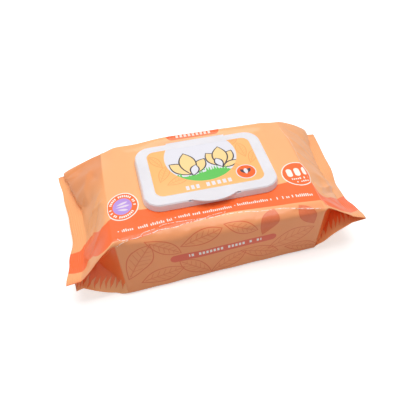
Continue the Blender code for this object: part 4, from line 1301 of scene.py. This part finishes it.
def plastic_material(settings):
    """White moulded polypropylene: satin, faintly uneven, letting a little light in."""
    made, board, shader = new_material("white_moulded_plastic")
    body = object_place(board)
    cloud = board.cloud(body, 45.0)
    pale = tuple(min(1.0, value * 1.03) for value in settings.plastic)
    dull = tuple(value * 0.97 for value in settings.plastic)
    colour = board.paint(opaque(dull), opaque(pale), board.spread(cloud, 0.3, 0.7))
    board.feed(colour, shader.inputs["Base Color"])
    grain = add_grain(board, shader, body, fine=2600.0, broad=90.0, base=0.36, uneven=0.08)
    tune(shader, {"Specular IOR Level": 0.5, "Subsurface Weight": 0.35, "Subsurface Scale": 1.0,
                  "Subsurface Radius": (0.0015, 0.0013, 0.0012)})
    bump(board, shader, grain, distance=0.04 * MM, strength=0.35)
    return made


def seal_material(settings):
    """Peel-off seal: pale film with a fine pressed grid and a bright tip."""
    made, board, shader = new_material("peel_off_film")
    body = object_place(board)
    spot = board.parts(board.vector("SCALE", body, 1 / MM))
    lines = (spot[0] * SEAL_GRID).by("SINE").by("MAXIMUM", (spot[1] * SEAL_GRID).by("SINE"))
    tip = board.spread(spot[0], *SEAL_TIP)
    board.feed(board.paint(opaque(settings.seal), opaque(settings.badge), tip), shader.inputs["Base Color"])
    grain = add_grain(board, shader, body, fine=1500.0, broad=80.0, base=0.28, uneven=0.1)
    tune(shader, {"Coat Weight": 0.4, "Coat Roughness": 0.1})
    bump(board, shader, lines.by("MULTIPLY_ADD", 0.5, grain), distance=0.08 * MM, strength=0.4)
    return made


def label_material(settings):
    """Printed label: pale disc with a plant on a green hill, drawn leaves, badge and title blocks."""
    made, board, shader = new_material("printed_label_film")
    body = object_place(board)
    flat = board.vector("SUBTRACT", board.vector("SCALE", body, 1 / MM), (*LABEL_MIDDLE, 60.0))
    flat = board.vector("MULTIPLY", flat, (1.0, 1.0, 0.0))
    sheet = Sheet(board, flat, settings, "label_ground")
    sheet.leaves("label_line", LABEL_LEAVES, LABEL_LINE)
    ground = sheet.colour
    disc = board.place("Rounded bar", position=flat, middle=DISC_MIDDLE, radius=DISC_RADIUS)
    draw_plant(sheet)
    sheet.colour = board.paint(ground, sheet.colour, disc["Mask"])

    for middle, half, pitch in TITLE_ROWS:
        sheet.row("plastic", middle, half, height=4.4, pitch=pitch, turn=radians(2.0), blank=NO_BLANK,
                  small=ALL_TALL, seed=50.0)
    sheet.bar("plastic", LABEL_BADGE, LABEL_BADGE_RADIUS)
    sheet.bar("badge", LABEL_BADGE, LABEL_BADGE_RADIUS - 0.8)
    for turned, shift, name in ((130, -1.9, "outline"), (50, 1.9, "outline"), (90, 0.0, "plastic")):
        middle = (LABEL_BADGE[0] + shift, LABEL_BADGE[1] + 0.6)
        leaf = sheet.leaf(middle, turned, length=7.0, width=3.4, lean=0.2, line=0.4)
        sheet.lay(name, leaf["Fill"])
    board.feed(sheet.colour, shader.inputs["Base Color"])

    grain = add_grain(board, shader, body, fine=2000.0, broad=110.0, base=0.36, uneven=0.08)
    tune(shader, {"Specular IOR Level": 0.3, "Coat Weight": 0.06, "Coat Roughness": 0.2})
    bump(board, shader, grain, distance=0.04 * MM, strength=0.3)
    return made


def draw_plant(sheet):
    """Pale sky, two fans of petals with a drop, and a green hill with grass, with dark outlines."""
    board = sheet.board
    spot = board.parts(sheet.flat)
    sheet.colour = sheet.ink("disc")
    for foot, turned, length, width, lean, name in PLANTS:
        way = radians(turned)
        middle = (foot[0] + length / 2 * cos(way), foot[1] + length / 2 * sin(way))
        leaf = sheet.leaf(middle, turned, length, width, lean, PLANT_LINE)
        sheet.lay(name, leaf["Fill"])
        sheet.lay("outline", leaf["Outline"])
    hill = spot[0].by("MULTIPLY_ADD", 0.16, 0.6).by("SINE").by("MULTIPLY_ADD", HILL_SWELL, HILL_HEIGHT)
    tuft = spot[0].by("PINGPONG", 1.1) * 1.5
    tall = tuft * board.spread(board.cloud(sheet.flat, 0.16, 0.0), 0.38, 0.62)
    sheet.lay("meadow", inked(spot[1] - hill - tall * 3))


def only(items, kind):
    return [item for item in items if isinstance(item, kind)]


def bevel(bm, edges, offset, segments):
    bmesh.ops.bevel(bm, geom=edges, offset=offset, segments=segments, profile=0.5, affect="EDGES",
                    material=-1)


class WIPES_OT_film(bpy.types.Operator):
    """Wraps the printed film round the wipes"""
    bl_idname = "wipes.film"
    bl_label = "Printed Film"

    def execute(self, context):
        settings = context.scene.wipes_film
        bm, place, stations, rings = film_mesh(settings)
        weld_film(bm)
        press_creases(bm, settings, place, stations, rings)
        film = add_piece(bm, "wrapped_film", film_material(settings), "pack", sharp=50)
        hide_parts("film_pack")
        return {"FINISHED"}


class WIPES_OT_lid(bpy.types.Operator):
    """Gives the rigid lid, its cover and the peel-off seal their finishes"""
    bl_idname = "wipes.lid"
    bl_label = "Lid"

    def execute(self, context):
        settings = context.scene.wipes_lid
        plastic = plastic_material(settings)
        for node, finish in (("lid_base", plastic), ("lid_cover", plastic),
                             ("seal_label", seal_material(settings))):
            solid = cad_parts[node]
            solid.data.materials.clear()
            solid.data.materials.append(finish)
        return {"FINISHED"}


class WIPES_OT_web(bpy.types.Operator):
    """Joins the cover to the lid with the thin web of a living hinge"""
    bl_idname = "wipes.web"
    bl_label = "Hinge Web"

    def execute(self, context):
        settings = context.scene.wipes_lid
        rear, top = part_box("lid_cover")[1].yz
        half = settings.web_length / 2
        bm = bmesh.new()
        start = [bm.verts.new((x, rear + WEB_GAP, top - WEB_DROP))
                 for x in (LID_CENTRE_X - half, LID_CENTRE_X + half)]
        moved = bmesh.ops.extrude_edge_only(bm, edges=[bm.edges.new(start)])["geom"]
        bmesh.ops.translate(bm, vec=(0, 0, WEB_RISE), verts=only(moved, bmesh.types.BMVert))
        bmesh.ops.spin(bm, geom=only(moved, bmesh.types.BMEdge), angle=radians(70), steps=7,
                       cent=(LID_CENTRE_X, rear - WEB_RADIUS, top - WEB_RADIUS), axis=(1, 0, 0))
        long_edges = [e for e in bm.edges if abs(e.verts[0].co.x - e.verts[1].co.x) > half]
        bmesh.ops.subdivide_edges(bm, edges=long_edges, cuts=8)
        bmesh.ops.recalc_face_normals(bm, faces=bm.faces)
        bmesh.ops.solidify(bm, geom=bm.faces[:], thickness=settings.web_thickness)
        bmesh.ops.recalc_face_normals(bm, faces=bm.faces)
        plastic = bpy.data.materials["white_moulded_plastic"]
        web = add_piece(bm, "hinge_web", plastic, "pack", ride=False)
        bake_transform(web)
        return {"FINISHED"}


class WIPES_OT_plate(bpy.types.Operator):
    """Closes the cover with a plate that laps over the rim, with a finger tab and a window"""
    bl_idname = "wipes.plate"
    bl_label = "Cover Plate"

    def execute(self, context):
        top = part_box("lid_cover")[1].z + PLATE_RISE
        bm = bmesh.new()
        edges = []
        for outline in (plate_outline(), window_outline()):
            verts = [bm.verts.new((x, y, top - PLATE_THICKNESS)) for x, y in outline]
            edges += [bm.edges.new(pair) for pair in zip(verts, verts[1:] + verts[:1])]
        bmesh.ops.triangle_fill(bm, use_beauty=True, use_dissolve=False, edges=edges, normal=(0, 0, 1))
        raised = bmesh.ops.extrude_face_region(bm, geom=bm.faces[:], use_keep_orig=True)["geom"]
        bmesh.ops.translate(bm, vec=(0, 0, PLATE_THICKNESS), verts=only(raised, bmesh.types.BMVert))
        upper = [face for face in bm.faces if min(v.co.z for v in face.verts) > top - PLATE_THICKNESS / 2]
        bmesh.ops.recalc_face_normals(bm, faces=bm.faces)
        bmesh.ops.inset_region(bm, faces=upper, thickness=1.5 * PLATE_EDGE, depth=0.0,
                               use_even_offset=True, use_boundary=True)
        rim = [edge for edge in bm.edges if self.is_outer(edge, top)]
        bevel(bm, rim, PLATE_EDGE, 4)
        plastic = bpy.data.materials["white_moulded_plastic"]
        add_piece(bm, "cover_plate", plastic, "cover", sharp=40)
        return {"FINISHED"}

    def is_outer(self, edge, top):
        """True for an edge between the plate's top and its outer wall."""
        if len(edge.link_faces) != 2 or min(v.co.z for v in edge.verts) < top - 0.01 * MM:
            return False
        level = [abs(face.normal.z) < 0.5 for face in edge.link_faces]
        middle = (edge.verts[0].co + edge.verts[1].co) / 2
        outside = (abs(middle.x - LID_CENTRE_X) > WINDOW_HALF_X
                   or abs(middle.y - LID_CENTRE_Y) > WINDOW_HALF_Y)
        return any(level) and outside


def arc(middle, radius, start, end, steps):
    """Points of an arc, with its angles in degrees."""
    turns = (radians(mix(start, end, step / steps)) for step in range(steps + 1))
    return [(middle[0] + radius * cos(turn), middle[1] + radius * sin(turn)) for turn in turns]


def plate_outline():
    """Anticlockwise from the front right: corners, hinge edge, corners and the tab's crescent."""
    half_x = PLATE_LENGTH / 2
    half_y = PLATE_WIDTH / 2
    inner_x, inner_y = half_x - PLATE_CORNER, half_y - PLATE_CORNER
    line = arc((inner_x, -inner_y), PLATE_CORNER, -90, 0, 12)
    line += arc((inner_x, inner_y), PLATE_CORNER, 0, 90, 12)
    line += [(HINGE_HALF, half_y), (HINGE_HALF, half_y + HINGE_STEP)]
    line += [(-HINGE_HALF, half_y + HINGE_STEP), (-HINGE_HALF, half_y)]
    line += arc((-inner_x, inner_y), PLATE_CORNER, 90, 180, 12)
    line += arc((-inner_x, -inner_y), PLATE_CORNER, 180, 270, 12)
    radius = (TAB_CHORD ** 2 / 4 + TAB_REACH ** 2) / (2 * TAB_REACH)
    middle_y = radius - TAB_REACH - LID_WIDTH / 2
    spread = degrees(acos((middle_y + half_y) / radius))
    line += arc((0, middle_y), radius, -90 - spread, -90 + spread, 24)
    return [(LID_CENTRE_X + x, LID_CENTRE_Y + y) for x, y in line]


def window_outline():
    """Rounded rectangle round the label."""
    low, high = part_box("lid_label")
    middle_x, middle_y = (low.x + high.x) / 2, (low.y + high.y) / 2
    inner_x = (high.x - low.x) / 2 - WINDOW_CORNER
    inner_y = (high.y - low.y) / 2 - WINDOW_CORNER
    line = []
    for side_x, side_y, start in ((1, -1, -90), (1, 1, 0), (-1, 1, 90), (-1, -1, 180)):
        line += arc((middle_x + side_x * inner_x, middle_y + side_y * inner_y), WINDOW_CORNER,
                    start, start + 90, 10)
    return line


class WIPES_OT_label(bpy.types.Operator):
    """Lays the printed label into the recess of the cover"""
    bl_idname = "wipes.label"
    bl_label = "Printed Label"

    def execute(self, context):
        low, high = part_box("lid_label")
        margins = (2 * LABEL_MARGIN, 2 * LABEL_MARGIN, LABEL_RISE)
        bm = bmesh.new()
        bmesh.ops.create_cube(bm, size=1.0)
        size = [end - start + margin for start, end, margin in zip(low, high, margins)]
        bmesh.ops.scale(bm, vec=size, verts=bm.verts)
        bmesh.ops.translate(bm, vec=(low + high) / 2, verts=bm.verts)
        corners = [e for e in bm.edges if abs(e.verts[0].co.z - e.verts[1].co.z) > LABEL_RISE]
        bevel(bm, corners, LABEL_CORNER, 14)
        top = [e for e in bm.edges if min(v.co.z for v in e.verts) > high.z]
        bevel(bm, top, LABEL_EDGE, 2)
        finish = label_material(context.scene.wipes_lid)
        label = add_piece(bm, "printed_label", finish, "cover")
        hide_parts("lid_label")
        return {"FINISHED"}


def camera_matrix():
    """Place of a camera that looks at the target, with its horizon slightly rolled."""
    back = Vector((sin(CAMERA_TURN) * cos(CAMERA_RISE), -cos(CAMERA_TURN) * cos(CAMERA_RISE),
                   sin(CAMERA_RISE)))
    right = Vector((cos(CAMERA_TURN), sin(CAMERA_TURN), 0))
    up = back.cross(right)
    rolled_right = cos(CAMERA_ROLL) * right + sin(CAMERA_ROLL) * up
    rolled_up = cos(CAMERA_ROLL) * up - sin(CAMERA_ROLL) * right
    matrix = Matrix((rolled_right, rolled_up, back)).transposed().to_4x4()
    matrix.translation = CAMERA_TARGET + back * CAMERA_DISTANCE
    return matrix


def add_lamp(name, power, place, target, size):
    data = bpy.data.lights.new(name, "AREA")
    data.shape = "RECTANGLE"
    data.size, data.size_y = size
    data.energy = power
    lamp = bpy.data.objects.new(name, data)
    lamp.location = place
    lamp.rotation_euler = (Vector(target) - Vector(place)).to_track_quat("-Z", "Y").to_euler()
    bpy.context.scene.collection.objects.link(lamp)


class WIPES_OT_stage(bpy.types.Operator):
    """Sets up the pale floor, the soft light and the camera"""
    bl_idname = "wipes.stage"
    bl_label = "Studio"

    def execute(self, context):
        scene = context.scene
        settings = scene.wipes_stage
        scene.view_settings.view_transform = "Standard"

        bm = bmesh.new()
        bmesh.ops.create_grid(bm, x_segments=8, y_segments=8, size=FLOOR_SIZE)
        mesh = bpy.data.meshes.new("studio_floor")
        bm.to_mesh(mesh)
        bm.free()
        floor = bpy.data.objects.new("studio_floor", mesh)
        floor.data.materials.append(self.floor_material(settings))
        scene.collection.objects.link(floor)

        world = bpy.data.worlds.new("studio_light")
        scene.world = world
        world.use_nodes = True
        board = Board(world.node_tree)
        shader = world.node_tree.nodes["Background"]
        path = board.outputs("ShaderNodeLightPath")
        seen = path["Is Glossy Ray"].by("MAXIMUM", path["Is Transmission Ray"])
        seen = path["Is Camera Ray"].by("MAXIMUM", seen)
        shader.inputs["Color"].default_value = WHITE
        strength = seen.by("MULTIPLY_ADD", 1.0 - settings.sky, settings.sky)
        board.feed(strength, shader.inputs["Strength"])

        add_lamp("key_above", settings.key, *KEY_LAMP)
        add_lamp("fill_left", settings.fill, *FILL_LAMP)

        data = bpy.data.cameras.new("photo_camera")
        data.lens = CAMERA_LENS
        data.sensor_width = CAMERA_SENSOR
        data.clip_start = 0.01
        camera = bpy.data.objects.new("photo_camera", data)
        camera.matrix_world = camera_matrix()
        scene.collection.objects.link(camera)
        scene.camera = camera
        return {"FINISHED"}

    def floor_material(self, settings):
        made, board, shader = new_material("pale_studio_floor")
        cloud = board.cloud(object_place(board), 3.0)
        dull = tuple(value * 0.98 for value in settings.floor)
        board.feed(board.paint(opaque(dull), opaque(settings.floor), cloud), shader.inputs["Base Color"])
        tune(shader, {"Roughness": 0.9, "Specular IOR Level": 0.0, "Emission Color": WHITE})
        glow = board.outputs("ShaderNodeLightPath")["Is Camera Ray"] * FLOOR_GLOW
        board.feed(glow, shader.inputs["Emission Strength"])
        return made


class WIPES_PT_panel(bpy.types.Panel):
    """Lists the settings and the builders of the pack"""
    bl_idname = "WIPES_PT_panel"
    bl_label = "Wet Wipes Pack"
    bl_space_type = "VIEW_3D"
    bl_region_type = "UI"
    bl_category = "Wipes Pack"

    def draw(self, context):
        scene = context.scene
        for title, settings, builders in (
                ("Film", scene.wipes_film, (WIPES_OT_film,)),
                ("Lid", scene.wipes_lid, (WIPES_OT_lid, WIPES_OT_plate, WIPES_OT_web, WIPES_OT_label)),
                ("Studio", scene.wipes_stage, (WIPES_OT_stage,))):
            box = self.layout.box()
            box.label(text=title)
            for name in settings.bl_rna.properties.keys():
                if name not in ("rna_type", "name"):
                    box.prop(settings, name)
            for builder in builders:
                box.operator(builder.bl_idname)


CLASSES = (WipesFilmSettings, WipesLidSettings, WipesStageSettings, WIPES_OT_film, WIPES_OT_lid,
           WIPES_OT_plate, WIPES_OT_web, WIPES_OT_label, WIPES_OT_stage, WIPES_PT_panel)


def register():
    for each in CLASSES:
        bpy.utils.register_class(each)
    bpy.types.Scene.wipes_film = bpy.props.PointerProperty(type=WipesFilmSettings)
    bpy.types.Scene.wipes_lid = bpy.props.PointerProperty(type=WipesLidSettings)
    bpy.types.Scene.wipes_stage = bpy.props.PointerProperty(type=WipesStageSettings)


def unregister():
    del bpy.types.Scene.wipes_stage
    del bpy.types.Scene.wipes_lid
    del bpy.types.Scene.wipes_film
    for each in reversed(CLASSES):
        bpy.utils.unregister_class(each)


def main():
    register()
    for make_group in (make_bar_group, make_leaf_group, make_small_print_group, make_grain_group):
        make_group()
    bpy.ops.wipes.stage()
    bpy.ops.wipes.film()
    bpy.ops.wipes.lid()
    bpy.ops.wipes.plate()
    bpy.ops.wipes.web()
    bpy.ops.wipes.label()


if __name__ == "__main__":
    main()
